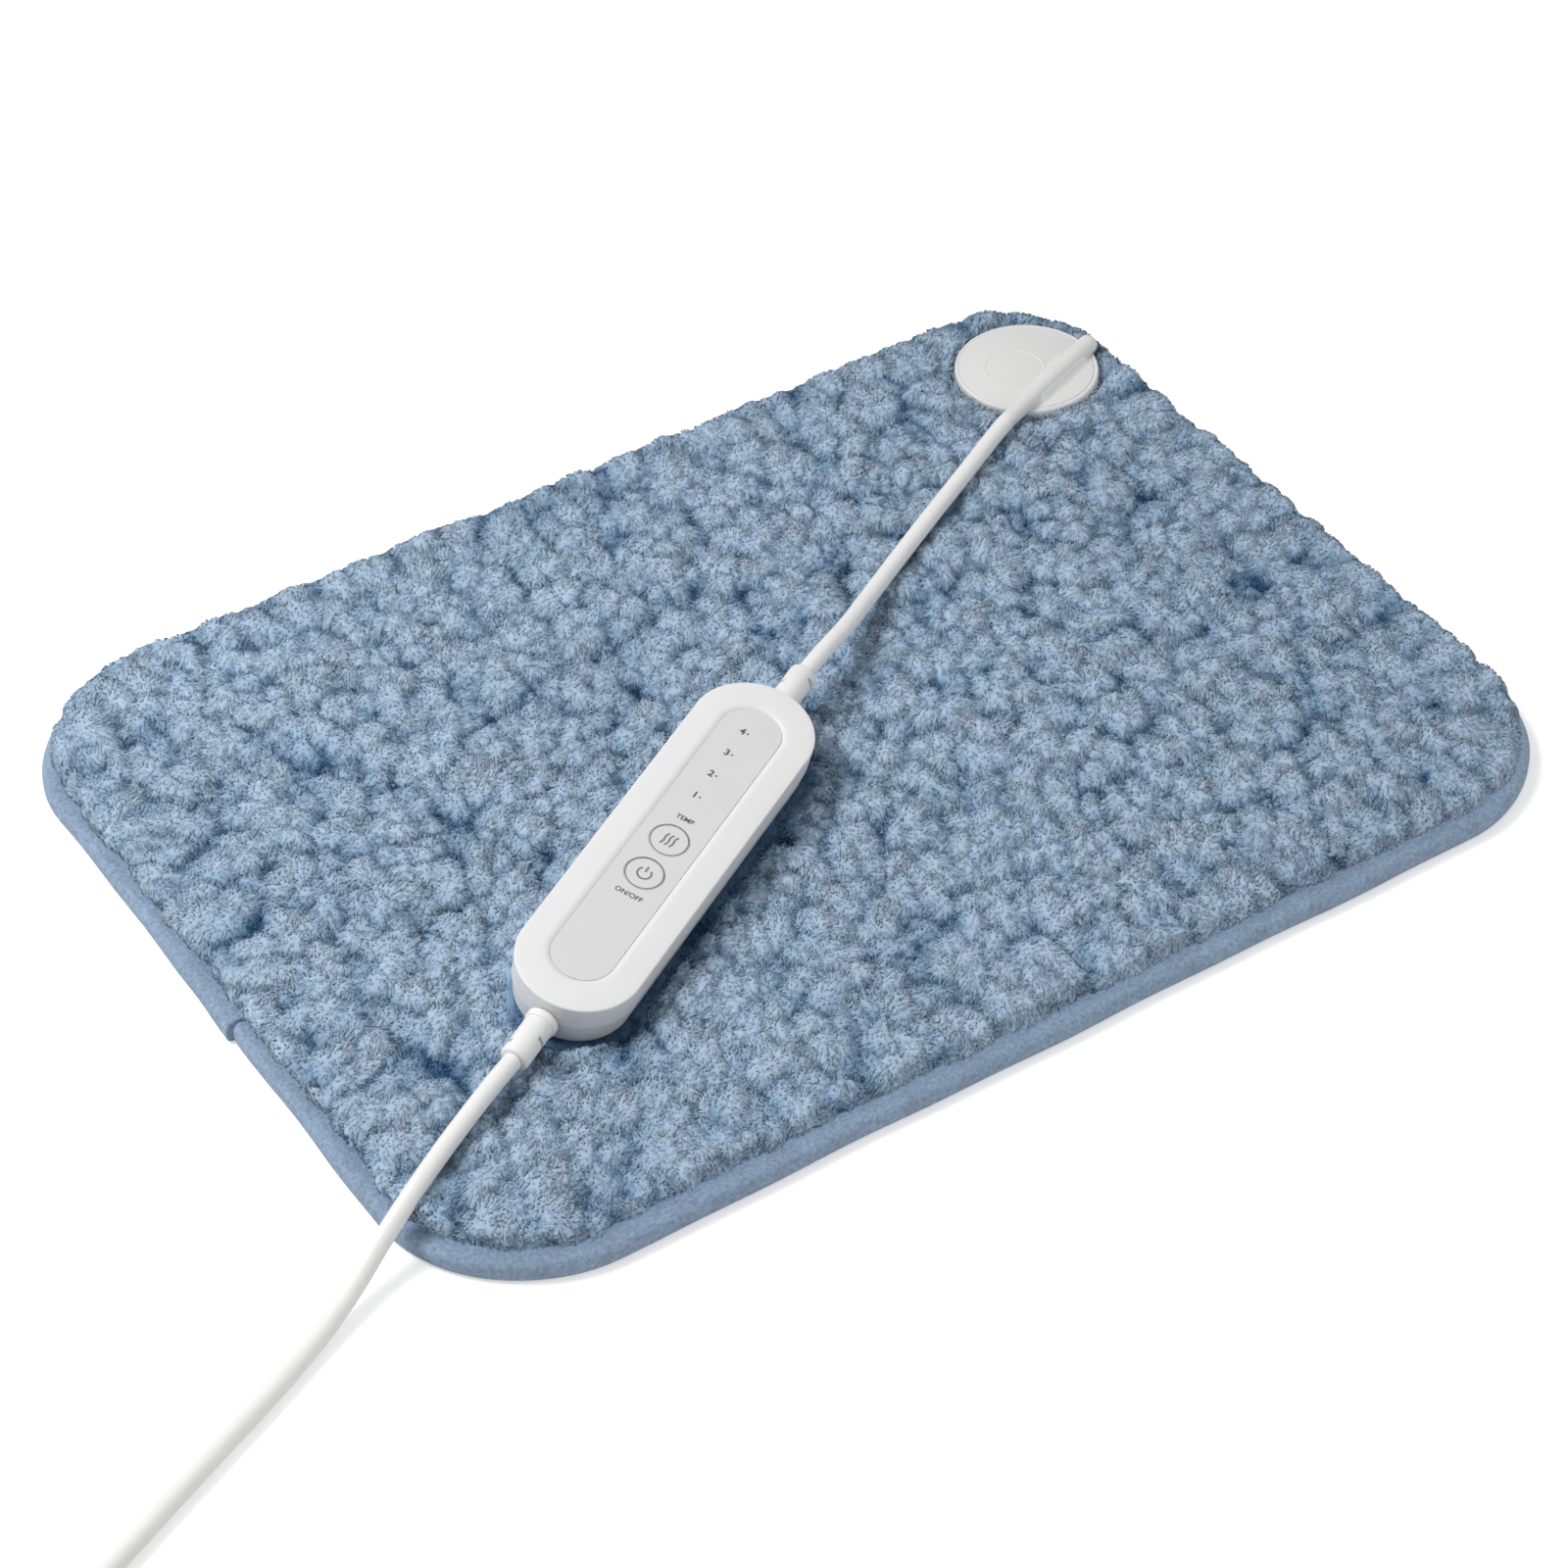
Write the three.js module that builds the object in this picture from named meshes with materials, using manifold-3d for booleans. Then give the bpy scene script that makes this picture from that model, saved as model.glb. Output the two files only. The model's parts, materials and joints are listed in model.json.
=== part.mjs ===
// Heating pad with a wired hand controller. A plush warming pad with a taped edge
// carries a round power socket in one corner. A round connector pulls off it, and a
// short lead runs from there to a flat controller that lies on the plush. The mains
// lead runs on from the controller, off the pad, to a coil and a two-pin plug.
// Millimetres, +Z up. The origin is on the resting surface under the middle of the
// pad, +X runs along its long side and +Y towards its far long edge.
import * as THREE from 'three';
import { mergeVertices } from 'three/addons/utils/BufferGeometryUtils.js';
import Module from 'manifold-3d';

const wasm = await Module();
wasm.setup();

// Clearances shared by all pieces
const fitGap = 0.3;
const cutOverrun = 2;
const embed = 0.4;

// Pad outline and edge tape
const padLength = 400;
const padWidth = 290;
const padCornerRadius = 48;
const tapeWidth = 10;
const tapeHeight = 6.4;
const tapeThickness = 1;
const tapeRound = 1.8;
const tapeLapPlace = -13;
const tapeLapLength = 20;
const tapeLapRise = 0.7;

// Layers of the pad, from the bottom up
const backingFlangeThickness = 0.9;
const waddingThickness = 1;
const waddingInset = 11.5;
const carrierThickness = 0.3;
const carrierInset = 14;
const heatingWireDiameter = 1.4;
const heatingRunPitch = 19.4;
const heatingEndMargin = 50;
const heatingSideMargin = 34;
const coverClothThickness = 1.2;
const coverSkirtGap = 0.35;

// Plush surface
const plushHeight = 15.2;
const pileOverhang = 4.4;
const pileLift = 1;
const pileEdgeDrop = 6.4;
const pileEdgeRun = 2.2;
const pileCrown = 1;
const pileCrownReach = 100;
const pileRingSteps = [0.9, 2.4, 5.5, 13];
const pileInnerRings = 4;
const pileInnerReachShare = 0.93;
const seatSwellReach = 16;
const seatSwellLift = 1.2;
const seatSwellShares = [1, 0.8, 0.55, 0.3, 0.1, -0.3];

// Overheat cut-out and temperature sensor on the heater carrier
const cutoutLength = 12;
const cutoutWidth = 5;
const cutoutX = 62;
const sensorDiameter = 2.6;
const sensorLength = 7;
const sensorX = -96;
const partsRow = 4;

// Socket fixed through the plush, with the connector that plugs into it
const socketEndDistance = 35.4;
const socketSideDistance = 41.8;
const socketTurn = 22;
const socketRadius = 23.4;
const socketTop = 11;
const socketBossRadius = 14;
const clampRadius = 20;
const clampCoreRadius = 13.4;
const clampCoreRise = 0.6;
const pinRadius = 1.5;
const pinSpacing = 10;
const pinShift = 3;
const pinHeight = 14.6;
const socketScrewSpread = 19;
const screwHeadRadius = 2.2;
const screwHeadHeight = 0.8;
const screwShankRadius = 1.2;
const screwBite = 2.6;

// Connector
const connectorRadius = 24.2;
const connectorBaseThickness = 1.1;
const connectorTop = 17.2;
const connectorWall = 2;
const connectorEdge = 1.5;
const connectorSeam = 0.3;
const contactRadius = 2.5;
const embossRadius = 10;
const embossWidth = 0.9;
const embossHeight = 0.25;
const embossShift = 3;
const connectorScrewX = 15;
const connectorScrewY = 8;
const connectorBossRadius = 2.7;
const spineOffset = 11;
const spineStart = 30.6;
const spineEnd = 23.9;
const spineThinRadius = 2.75;
const spineThickRadius = 3.4;
const spineRise = 1;
const spineBedWidth = 10.4;
const spineBedDepth = 4;

// Controller, in its own frame: along its length, across it, up from its underside
const controllerX = -69.2;
const controllerY = -36.4;
const controllerLift = 14.2;
const controllerTurn = 29;
const controllerTilt = 12;
const controllerPitch = 2;
const controllerLength = 142;
const controllerWidth = 38;
const rimHeight = 18;
const topCrown = 0.9;
const rimRound = 0.9;
const shellWall = 2;
const partingHeight = 10;
const partingDraft = 0.3;
const baseDraft = 1.4;
const baseRound = 3.6;
const panelEndMargin = 11;
const panelWidth = 19.2;
const panelThickness = 0.7;
const panelSink = 0.3;
const pocketWeb = 1.4;
const cavityRound = 1.2;

// Buttons and what they press
const buttonPlaces = [-15, 0];
const buttonRadius = 6;
const buttonThickness = 0.85;
const buttonTravel = 0.6;
const buttonWell = 0.7;
const stemRadius = 1.8;
const stemLength = 2.65;
const switchSide = 6;
const switchHeight = 2.6;
const plungerRadius = 1.65;
const plungerSink = 0.8;
const plungerFloor = 1.7;

// Step lights and light guide
const lightCount = 4;
const lightPitch = 10;
const lightEndMargin = 10.5;
const lightOffset = 0.4;
const lightChipLength = 1.6;
const lightChipWidth = 0.8;
const lightChipHeight = 0.7;
const guideWidth = 2.6;
const guideThickness = 1.2;
const guidePinRadius = 0.55;

// Circuit board and what hangs under it
const boardEndMargin = 18;
const boardWidth = 19.4;
const boardThickness = 1.5;
const boardBottom = 9.5;
const boardPostRadius = 1.8;
const boardPostSetback = 36;
const boardPostY = 7.4;
const fuseRadius = 2.5;
const fuseLength = 20;
const fuseX = 9;
const fuseY = -5.6;
const capacitorLength = 15;
const capacitorWidth = 7;
const capacitorHeight = 6;
const capacitorX = -17;
const capacitorY = -2.5;
const triacLength = 10;
const triacWidth = 4.6;
const triacHeight = 6.4;
const triacX = 22;
const triacY = 3;
const terminalLength = 8;
const terminalWidth = 11;
const terminalHeight = 6.4;
const terminalSetback = 25;

// Screws that close the controller
const shellScrewSetback = 21;
const shellScrewMargin = 6;
const shellBossRadius = 3;
const shellScrewSink = 0.8;
const shellScrewHead = 1.8;
const shellScrewReach = 14;

// Strain reliefs and cord clamps of the controller
const reliefAxisHeight = 10;
const reliefLength = 17;
const reliefRadius = 4.4;
const reliefTipRadius = 3.7;
const reliefLipRadius = 4.9;
const reliefLipLength = 2.7;
const reliefNeckRadius = 3.4;
const reliefFlangeRadius = 4.6;
const reliefFlangeLength = 2;
const reliefFlangeInset = 1.6;
const reliefSlotWidth = 1.3;
const reliefSlotDepth = 1.6;
const reliefSlotPlaces = [5.6, 10.6];
const clampSetback = 11;
const clampLength = 5;
const clampWidth = 14;
const clampBridge = 2.4;
const clampLedgeDrop = 0.6;
const cordEndLength = 10;

// Cords
const cordDiameter = 5.6;
const cordSides = 8;
const cordStepDiameters = 2.2;

// Mains plug
const plugBodyLength = 36;
const plugReliefLength = 24;
const plugWidth = 35;
const plugThickness = 13.4;
const plugLift = 6.9;
const plugPinDiameter = 4;
const plugPinLength = 19;
const plugPinSink = 8;
const plugPinSpacing = 18.6;

// Coil of the mains lead
const coilX = -341.2;
const coilY = -213.5;
const coilOuterRadius = 34;
const coilPitch = 7.2;
const coilLayerHeight = 6.4;
const coilLift = 4.2;
const coilLayers = 4;
const coilLayerTurns = 1.959;
const coilClimbTurns = 0.5;
const coilStepsPerTurn = 24;
const coilSides = 6;
const coilStartAngle = 115.5;
const coilNeighbourTurns = 0.5;
const tieAngle = -10;
const tieWidth = 8;
const tieThickness = 0.8;
const tieGap = 1;

// Facet counts
const discSides = 24;
const rodSides = 12;
const pinSides = 10;
const thinSides = 6;
const padArcSteps = 5;
const padLongSteps = 10;
const padShortSteps = 7;
const shellArcSteps = 6;
const roundSteps = 3;
const wireTurnSteps = 4;

const quarterTurn = Math.PI / 2;
const fullTurn = 2 * Math.PI;
const toRadians = THREE.MathUtils.degToRad;

// Colours and surface of each material
const finish = (color, roughness, metalness = 0) =>
  new THREE.MeshStandardMaterial({ color, roughness, metalness });
const finishes = {
  plush: finish(0x7d9cc0, 0.95),
  tape: finish(0x6f90b9, 0.9),
  backing: finish(0x7b97b8, 0.9),
  wadding: finish(0xe9e8e2, 0.95),
  carrier: finish(0xd9dde0, 0.9),
  silicone: finish(0xd8a58c, 0.6),
  white: finish(0xe6e6e6, 0.5),
  panel: finish(0xe1e1e1, 0.55),
  cord: finish(0xdfded9, 0.55),
  board: finish(0x2f6b46, 0.6),
  darkPlastic: finish(0x2b2c2e, 0.5),
  clear: finish(0xeef2f4, 0.25),
  lamp: finish(0xf3efe0, 0.4),
  glass: finish(0xdfe8ea, 0.15),
  brass: finish(0xc9a75a, 0.35, 1),
  steel: finish(0xb9bcbf, 0.35, 1),
};

// Geometry to and from closed solids

// A closed solid of a geometry, its shared corners merged and its faces outward.
function solidOf(geometry) {
  const bare = geometry.clone();
  bare.deleteAttribute('normal');
  bare.deleteAttribute('uv');
  const merged = mergeVertices(bare);
  const corners = merged.getAttribute('position').array;
  const faces = [];
  const index = merged.getIndex().array;
  for (let face = 0; face < index.length; face += 3) {
    const [a, b, c] = [index[face], index[face + 1], index[face + 2]];
    if (a !== b && b !== c && c !== a) faces.push(a, b, c);
  }
  const at = (corner) => new THREE.Vector3().fromArray(corners, 3 * corner);
  let volume = 0;
  for (let face = 0; face < faces.length; face += 3) {
    const [a, b, c] = [at(faces[face]), at(faces[face + 1]), at(faces[face + 2])];
    volume += a.dot(b.cross(c));
  }
  if (volume < 0) faces.reverse();
  return new wasm.Manifold(new wasm.Mesh({
    numProp: 3,
    vertProperties: new Float32Array(corners),
    triVerts: new Uint32Array(faces),
  }));
}

// The geometry of a closed solid.
function geometryOf(solid) {
  const body = solid.getMesh();
  const geometry = new THREE.BufferGeometry();
  geometry.setAttribute('position', new THREE.BufferAttribute(body.vertProperties, 3));
  geometry.setIndex(new THREE.BufferAttribute(body.triVerts, 1));
  return geometry;
}

const joined = (base, ...others) =>
  others.reduce((solid, other) => solid.add(solidOf(other)), solidOf(base));
const without = (solid, ...tools) =>
  tools.reduce((rest, tool) => rest.subtract(solidOf(tool)), solid);

// Outline stations: base point of each round corner or side, with the outward normal.
function outlineStations(length, width, radius, longSteps, shortSteps, arcSteps) {
  const halfX = length / 2 - radius;
  const halfY = width / 2 - radius;
  const corners = [[1, 1], [-1, 1], [-1, -1], [1, -1]];
  const stations = [];
  corners.forEach(([signX, signY], corner) => {
    for (let step = 0; step <= arcSteps; step += 1) {
      const angle = quarterTurn * (corner + step / arcSteps);
      stations.push({
        x: signX * halfX, y: signY * halfY, nx: Math.cos(angle), ny: Math.sin(angle),
      });
    }
    const [nextX, nextY] = corners[(corner + 1) % corners.length];
    const steps = corner % 2 === 0 ? longSteps : shortSteps;
    const side = quarterTurn * (corner + 1);
    for (let step = 1; step < steps; step += 1) {
      const share = step / steps;
      stations.push({
        x: halfX * THREE.MathUtils.lerp(signX, nextX, share),
        y: halfY * THREE.MathUtils.lerp(signY, nextY, share),
        nx: Math.cos(side),
        ny: Math.sin(side),
      });
    }
  });
  return stations.filter((station, place) => {
    const last = stations[(place + stations.length - 1) % stations.length];
    const apart = Math.hypot(station.x - last.x, station.y - last.y);
    const turned = Math.hypot(station.nx - last.nx, station.ny - last.ny);
    return apart > Number.EPSILON * length || turned > Number.EPSILON * rodSides;
  });
}

// One ring of a loft, at an inset from the outline and at a height.
const ringAt = (stations, radius, inset, height) => stations.map(
  ({ x, y, nx, ny }) =>
    new THREE.Vector3(x + nx * (radius - inset), y + ny * (radius - inset), height),
);

// A loft through rings of equal count, capped at both ends or closed on itself.
function loft(rings, closed = false) {
  const count = rings[0].length;
  const corners = rings.flat().flatMap((corner) => [corner.x, corner.y, corner.z]);
  const faces = [];
  const bands = closed ? rings.length : rings.length - 1;
  for (let band = 0; band < bands; band += 1) {
    const low = band * count;
    const high = ((band + 1) % rings.length) * count;
    for (let place = 0; place < count; place += 1) {
      const next = (place + 1) % count;
      faces.push(low + place, low + next, high + next);
      faces.push(low + place, high + next, high + place);
    }
  }
  if (!closed) {
    const cap = (ring, first, upward) => {
      const flat = ring.map((corner) => new THREE.Vector2(corner.x, corner.y));
      THREE.ShapeUtils.triangulateShape(flat, []).forEach(([a, b, c]) => {
        faces.push(...(upward ? [a, b, c] : [c, b, a]).map((corner) => first + corner));
      });
    };
    cap(rings[0], 0, false);
    cap(rings[rings.length - 1], (rings.length - 1) * count, true);
  }
  const geometry = new THREE.BufferGeometry();
  geometry.setAttribute('position', new THREE.Float32BufferAttribute(corners, 3));
  geometry.setIndex(faces);
  return geometry;
}

// A solid of revolution about the vertical, from [radius, height] pairs.
const turned = (profile, sides = discSides) => new THREE.LatheGeometry(
  profile.map(([radius, height]) => new THREE.Vector2(radius, height)), sides,
).rotateX(quarterTurn);

// The same about the length of the part, from [radius, place along] pairs.
const turnedAlong = (profile, sides = rodSides) => new THREE.LatheGeometry(
  profile.map(([radius, along]) => new THREE.Vector2(radius, along)), sides,
).rotateZ(-quarterTurn);

const post = (radius, x, y, bottom, top, sides = rodSides) =>
  new THREE.CylinderGeometry(radius, radius, top - bottom, sides)
    .rotateX(quarterTurn).translate(x, y, (top + bottom) / 2);
const rail = (radius, start, end, y, z, sides = rodSides) =>
  new THREE.CylinderGeometry(radius, radius, end - start, sides)
    .rotateZ(quarterTurn).translate((start + end) / 2, y, z);
const block = (length, width, x, y, bottom, top) =>
  new THREE.BoxGeometry(length, width, top - bottom).translate(x, y, (bottom + top) / 2);

// A route through given points, with one ring of a tube at each point.
class PointRoute extends THREE.Curve {
  constructor(points) {
    super();
    this.points = points;
  }

  getPoint(share, target = new THREE.Vector3()) {
    const place = share * (this.points.length - 1);
    const from = Math.min(Math.floor(place), this.points.length - 2);
    return target.lerpVectors(this.points[from], this.points[from + 1], place - from);
  }

  getPointAt(share, target) {
    return this.getPoint(share, target);
  }

  getTangentAt(share, target = new THREE.Vector3()) {
    const place = Math.round(share * (this.points.length - 1));
    const before = this.points[Math.max(place - 1, 0)];
    const after = this.points[Math.min(place + 1, this.points.length - 1)];
    return target.subVectors(after, before).normalize();
  }
}

// A tube of a given diameter along a route, with flat ends.
function tube(route, steps, diameter, sides) {
  const section = new THREE.Shape(Array.from({ length: sides }, (_, side) => {
    const angle = fullTurn * (side / sides);
    return new THREE.Vector2(Math.cos(angle), Math.sin(angle)).multiplyScalar(diameter / 2);
  }));
  return new THREE.ExtrudeGeometry(section, { steps, extrudePath: route });
}

// A free stretch of cord through points chosen by hand.
function freeCord(points) {
  const route = new THREE.CatmullRomCurve3(points, false, 'centripetal');
  const steps = Math.round(route.getLength() / (cordDiameter * cordStepDiameters));
  return tube(route, steps, cordDiameter, cordSides);
}

// Heights of the pad's layers
const backingFlangeBottom = tapeThickness + fitGap;
const backingTop = backingFlangeBottom + backingFlangeThickness;
const lowerWaddingBottom = backingTop + fitGap;
const carrierBottom = lowerWaddingBottom + waddingThickness + fitGap;
const wireBottom = carrierBottom + carrierThickness + fitGap;
const upperWaddingBottom = wireBottom + heatingWireDiameter + fitGap;
const upperWaddingTop = upperWaddingBottom + waddingThickness;
const coverBottom = upperWaddingTop + fitGap;
const coverFlangeTop = tapeHeight - tapeThickness - fitGap;
const pileBoundary = tapeWidth - pileOverhang;

const padStations = outlineStations(
  padLength, padWidth, padCornerRadius, padLongSteps, padShortSteps, padArcSteps,
);
const padRing = (inset, height) => ringAt(padStations, padCornerRadius, inset, height);

// Distance inside the pad's outline of a point on it.
function padInset(x, y) {
  const beyondX = Math.abs(x) - (padLength / 2 - padCornerRadius);
  const beyondY = Math.abs(y) - (padWidth / 2 - padCornerRadius);
  const corner = Math.hypot(Math.max(beyondX, 0), Math.max(beyondY, 0));
  return padCornerRadius - corner - Math.min(Math.max(beyondX, beyondY), 0);
}

// Places that follow the pad's outline and the controller's length
const socketX = padLength / 2 - socketEndDistance;
const socketY = padWidth / 2 - socketSideDistance;
const heatingRunEnd = padLength / 2 - heatingEndMargin;
const shellEnd = controllerLength / 2;
const panelLength = controllerLength - panelEndMargin * 2;
const boardLength = controllerLength - boardEndMargin * 2;
const boardPostX = shellEnd - boardPostSetback;
const terminalPlace = shellEnd - terminalSetback;
const clampPlace = shellEnd - clampSetback;
const shellScrewX = shellEnd - shellScrewSetback;
const shellScrewY = controllerWidth / 2 - shellScrewMargin;
const lastLight = panelLength / 2 - lightEndMargin;
const lightPlaces = Array.from(
  { length: lightCount }, (_, light) => lastLight - lightPitch * (lightCount - 1 - light),
);

// Frames of the controller and of the connector on the pad
const controllerFrame = new THREE.Group();
controllerFrame.position.set(controllerX, controllerY, controllerLift);
controllerFrame.rotation.set(
  toRadians(controllerTilt), toRadians(-controllerPitch), toRadians(controllerTurn), 'ZYX',
);
controllerFrame.updateMatrixWorld();
const onController = (along, across, up) =>
  new THREE.Vector3(along, across, up).applyMatrix4(controllerFrame.matrixWorld);

const connectorFrame = new THREE.Group();
connectorFrame.position.set(socketX, socketY, 0);
connectorFrame.rotation.z = toRadians(socketTurn);
connectorFrame.updateMatrixWorld();
const onConnector = (along, across, up) =>
  new THREE.Vector3(along, across, up).applyMatrix4(connectorFrame.matrixWorld);

// Controller shells

const shellStations = outlineStations(
  controllerLength, controllerWidth, controllerWidth / 2, 1, 1, shellArcSteps,
);
const shellRing = (inset, height) => ringAt(shellStations, controllerWidth / 2, inset, height);
const panelRadius = panelWidth / 2;
const panelStations = outlineStations(
  panelLength, panelWidth, panelRadius, 1, 1, shellArcSteps,
);
const panelPrism = (inset, bottom, top) => loft([
  ringAt(panelStations, panelRadius, inset, bottom),
  ringAt(panelStations, panelRadius, inset, top),
]);

const panelInset = (controllerWidth - panelWidth) / 2;
const shellTop = rimHeight + topCrown;
const panelTop = shellTop - panelSink;
const panelBottom = panelTop - panelThickness;
const pocketFloor = panelBottom - fitGap;
const cavityTop = pocketFloor - pocketWeb;
const wellFloor = pocketFloor - buttonWell;
const shellFloor = shellWall;
const partingLow = partingHeight - fitGap / 2;
const partingHigh = partingHeight + fitGap / 2;

const boardTop = boardBottom + boardThickness;
const underBoard = boardBottom - fitGap;
const buttonBottom = panelTop - buttonThickness;
const stemBottom = buttonBottom - stemLength;
const switchBottom = boardTop + fitGap;
const switchTop = switchBottom + switchHeight;
const guideBottom = switchBottom + lightChipHeight + fitGap;
const screwHoleRadius = screwShankRadius + fitGap;

// The four screw places of the controller.
const shellScrewPlaces = [[1, 1], [-1, 1], [-1, -1], [1, -1]]
  .map(([signX, signY]) => [signX * shellScrewX, signY * shellScrewY]);

// The cut that both shells leave for a strain relief's neck at each end.
const neckCut = (side) => rail(
  reliefNeckRadius + fitGap, shellEnd - shellWall * 2, shellEnd + cutOverrun, 0, reliefAxisHeight,
).rotateZ(side > 0 ? 0 : Math.PI);

// Outer skin of the controller for cuts, grown by a gap all round.
function controllerEnvelope(gap) {
  const rings = [shellRing(baseDraft + baseRound - gap, -gap)];
  for (let step = 1; step <= roundSteps; step += 1) {
    const angle = quarterTurn * (step / roundSteps);
    const inset = baseDraft + baseRound * (1 - Math.sin(angle)) - gap;
    rings.push(shellRing(inset, baseRound * (1 - Math.cos(angle)) - gap));
  }
  rings.push(shellRing(partingDraft - gap, partingHeight));
  rings.push(shellRing(-gap, rimHeight + gap));
  return loft(rings);
}

function controllerBottomShell() {
  const rings = [];
  for (let step = 0; step <= roundSteps; step += 1) {
    const angle = quarterTurn * (step / roundSteps);
    const inset = baseDraft + baseRound * (1 - Math.sin(angle));
    rings.push(shellRing(inset, baseRound * (1 - Math.cos(angle))));
  }
  rings.push(shellRing(partingDraft, partingLow));
  const cavity = loft([
    shellRing(shellWall + baseDraft + baseRound / 2, shellFloor),
    shellRing(shellWall + baseDraft, baseRound),
    shellRing(shellWall + partingDraft, partingHeight + cutOverrun),
  ]);
  const base = shellFloor - embed;
  const posts = [-1, 1].flatMap((signX) => [-1, 1].map((signY) =>
    post(boardPostRadius, signX * boardPostX, signY * boardPostY, base, underBoard, pinSides)));
  const bosses = shellScrewPlaces.map(([x, y]) => post(shellBossRadius, x, y, base, partingLow));
  const ledgeTop = reliefAxisHeight - cordDiameter / 2 - clampLedgeDrop;
  const ledges = [-1, 1].map((side) =>
    block(clampLength, clampWidth, side * clampPlace, 0, base, ledgeTop));
  let shell = without(solidOf(loft(rings)), cavity);
  [...posts, ...bosses, ...ledges].forEach((piece) => {
    shell = shell.add(solidOf(piece));
  });
  const headTop = shellScrewSink + shellScrewHead + fitGap;
  const holes = shellScrewPlaces.flatMap(([x, y]) => [
    post(screwHoleRadius, x, y, -cutOverrun, partingHeight + cutOverrun, pinSides),
    post(screwHeadRadius + fitGap, x, y, -cutOverrun, headTop, pinSides),
  ]);
  return without(shell, ...holes, neckCut(1), neckCut(-1));
}

function controllerTopShell() {
  const outside = loft([
    shellRing(partingDraft, partingHigh),
    shellRing(0, rimHeight - rimRound),
    shellRing(rimRound / 4, rimHeight - rimRound / 4),
    shellRing(rimRound, rimHeight),
    shellRing(panelInset / 2, rimHeight + topCrown * 0.75),
    shellRing(panelInset, shellTop),
  ]);
  const cavity = loft([
    shellRing(shellWall + partingDraft, partingHeight - cutOverrun),
    shellRing(shellWall, cavityTop - cavityRound),
    shellRing(shellWall + cavityRound, cavityTop),
  ]);
  let shell = without(solidOf(outside), cavity);
  shellScrewPlaces.forEach(([x, y]) => {
    shell = shell.add(solidOf(post(shellBossRadius, x, y, partingHigh, cavityTop + embed)));
  });
  const holes = shellScrewPlaces.map(([x, y]) =>
    post(screwHoleRadius, x, y, partingHeight - cutOverrun, shellScrewReach + fitGap, pinSides));
  const wells = buttonPlaces.flatMap((place) => [
    post(buttonRadius + fitGap, place, 0, wellFloor, shellTop + cutOverrun, discSides),
    post(stemRadius + fitGap, place, 0, partingHeight, shellTop + cutOverrun, pinSides),
  ]);
  const lightHoles = lightPlaces.map((place) =>
    post(guidePinRadius + fitGap, place, lightOffset, partingHeight, shellTop, thinSides));
  const pocket = panelPrism(-fitGap, pocketFloor, shellTop + cutOverrun);
  return without(shell, pocket, ...holes, ...wells, ...lightHoles, neckCut(1), neckCut(-1));
}

function controlPanel() {
  const sheet = solidOf(panelPrism(0, panelBottom, panelTop));
  const low = panelBottom - cutOverrun;
  const high = panelTop + cutOverrun;
  return without(
    sheet,
    ...buttonPlaces.map((place) => post(buttonRadius + fitGap, place, 0, low, high, discSides)),
    ...lightPlaces.map((place) =>
      post(guidePinRadius + fitGap, place, lightOffset, low, high, thinSides)),
  );
}

const pushButton = (place) => joined(
  post(buttonRadius, place, 0, buttonBottom, panelTop, discSides),
  post(stemRadius, place, 0, stemBottom, buttonBottom + embed, pinSides),
);

const switchBody = (place) => without(
  solidOf(block(switchSide, switchSide, place, 0, switchBottom, switchTop)),
  post(plungerRadius + fitGap, place, 0, switchTop - plungerFloor, switchTop + cutOverrun, pinSides),
);
const switchPlunger = (place) =>
  post(plungerRadius, place, 0, switchTop - plungerSink, stemBottom - fitGap, pinSides);

function lightGuide() {
  const first = lightPlaces[0];
  const last = lightPlaces[lightPlaces.length - 1];
  const length = last - first + guideWidth * 1.5;
  const top = guideBottom + guideThickness;
  return joined(
    block(length, guideWidth, (first + last) / 2, lightOffset, guideBottom, top),
    ...lightPlaces.map((place) =>
      post(guidePinRadius, place, lightOffset, top - embed, panelTop, thinSides)),
  );
}

const screw = (x, y, bottom, headHeight, top) => joined(
  post(screwHeadRadius, x, y, bottom, bottom + headHeight, pinSides),
  post(screwShankRadius, x, y, bottom + headHeight - embed, top, thinSides),
);

// Strain relief: a flange inside the shell, a neck through it and a slotted sleeve.
function strainRelief() {
  const wallInside = shellEnd - partingDraft - shellWall;
  const flangeEnd = wallInside - reliefFlangeInset;
  const lipStart = shellEnd + fitGap;
  const lipEnd = lipStart + reliefLipLength;
  const end = lipStart + reliefLength;
  const bevel = reliefRadius - reliefTipRadius;
  const sleeve = turnedAlong([
    [0, flangeEnd - reliefFlangeLength],
    [reliefFlangeRadius, flangeEnd - reliefFlangeLength],
    [reliefFlangeRadius, flangeEnd],
    [reliefNeckRadius, flangeEnd],
    [reliefNeckRadius, lipStart],
    [reliefLipRadius, lipStart],
    [reliefLipRadius, lipEnd],
    [reliefRadius, lipEnd],
    [reliefRadius, end - bevel],
    [reliefTipRadius, end],
    [0, end],
  ]);
  const slots = reliefSlotPlaces.flatMap((place, order) => {
    const side = order % 2 === 0 ? 1 : -1;
    const depth = reliefSlotDepth + cutOverrun;
    const centre = side * (reliefRadius - reliefSlotDepth + depth / 2);
    return [block(
      reliefSlotWidth, depth, lipEnd + place, centre,
      reliefAxisHeight - reliefLipRadius, reliefAxisHeight + reliefLipRadius,
    )];
  });
  return without(solidOf(sleeve.translate(0, 0, reliefAxisHeight)), ...slots);
}

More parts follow.
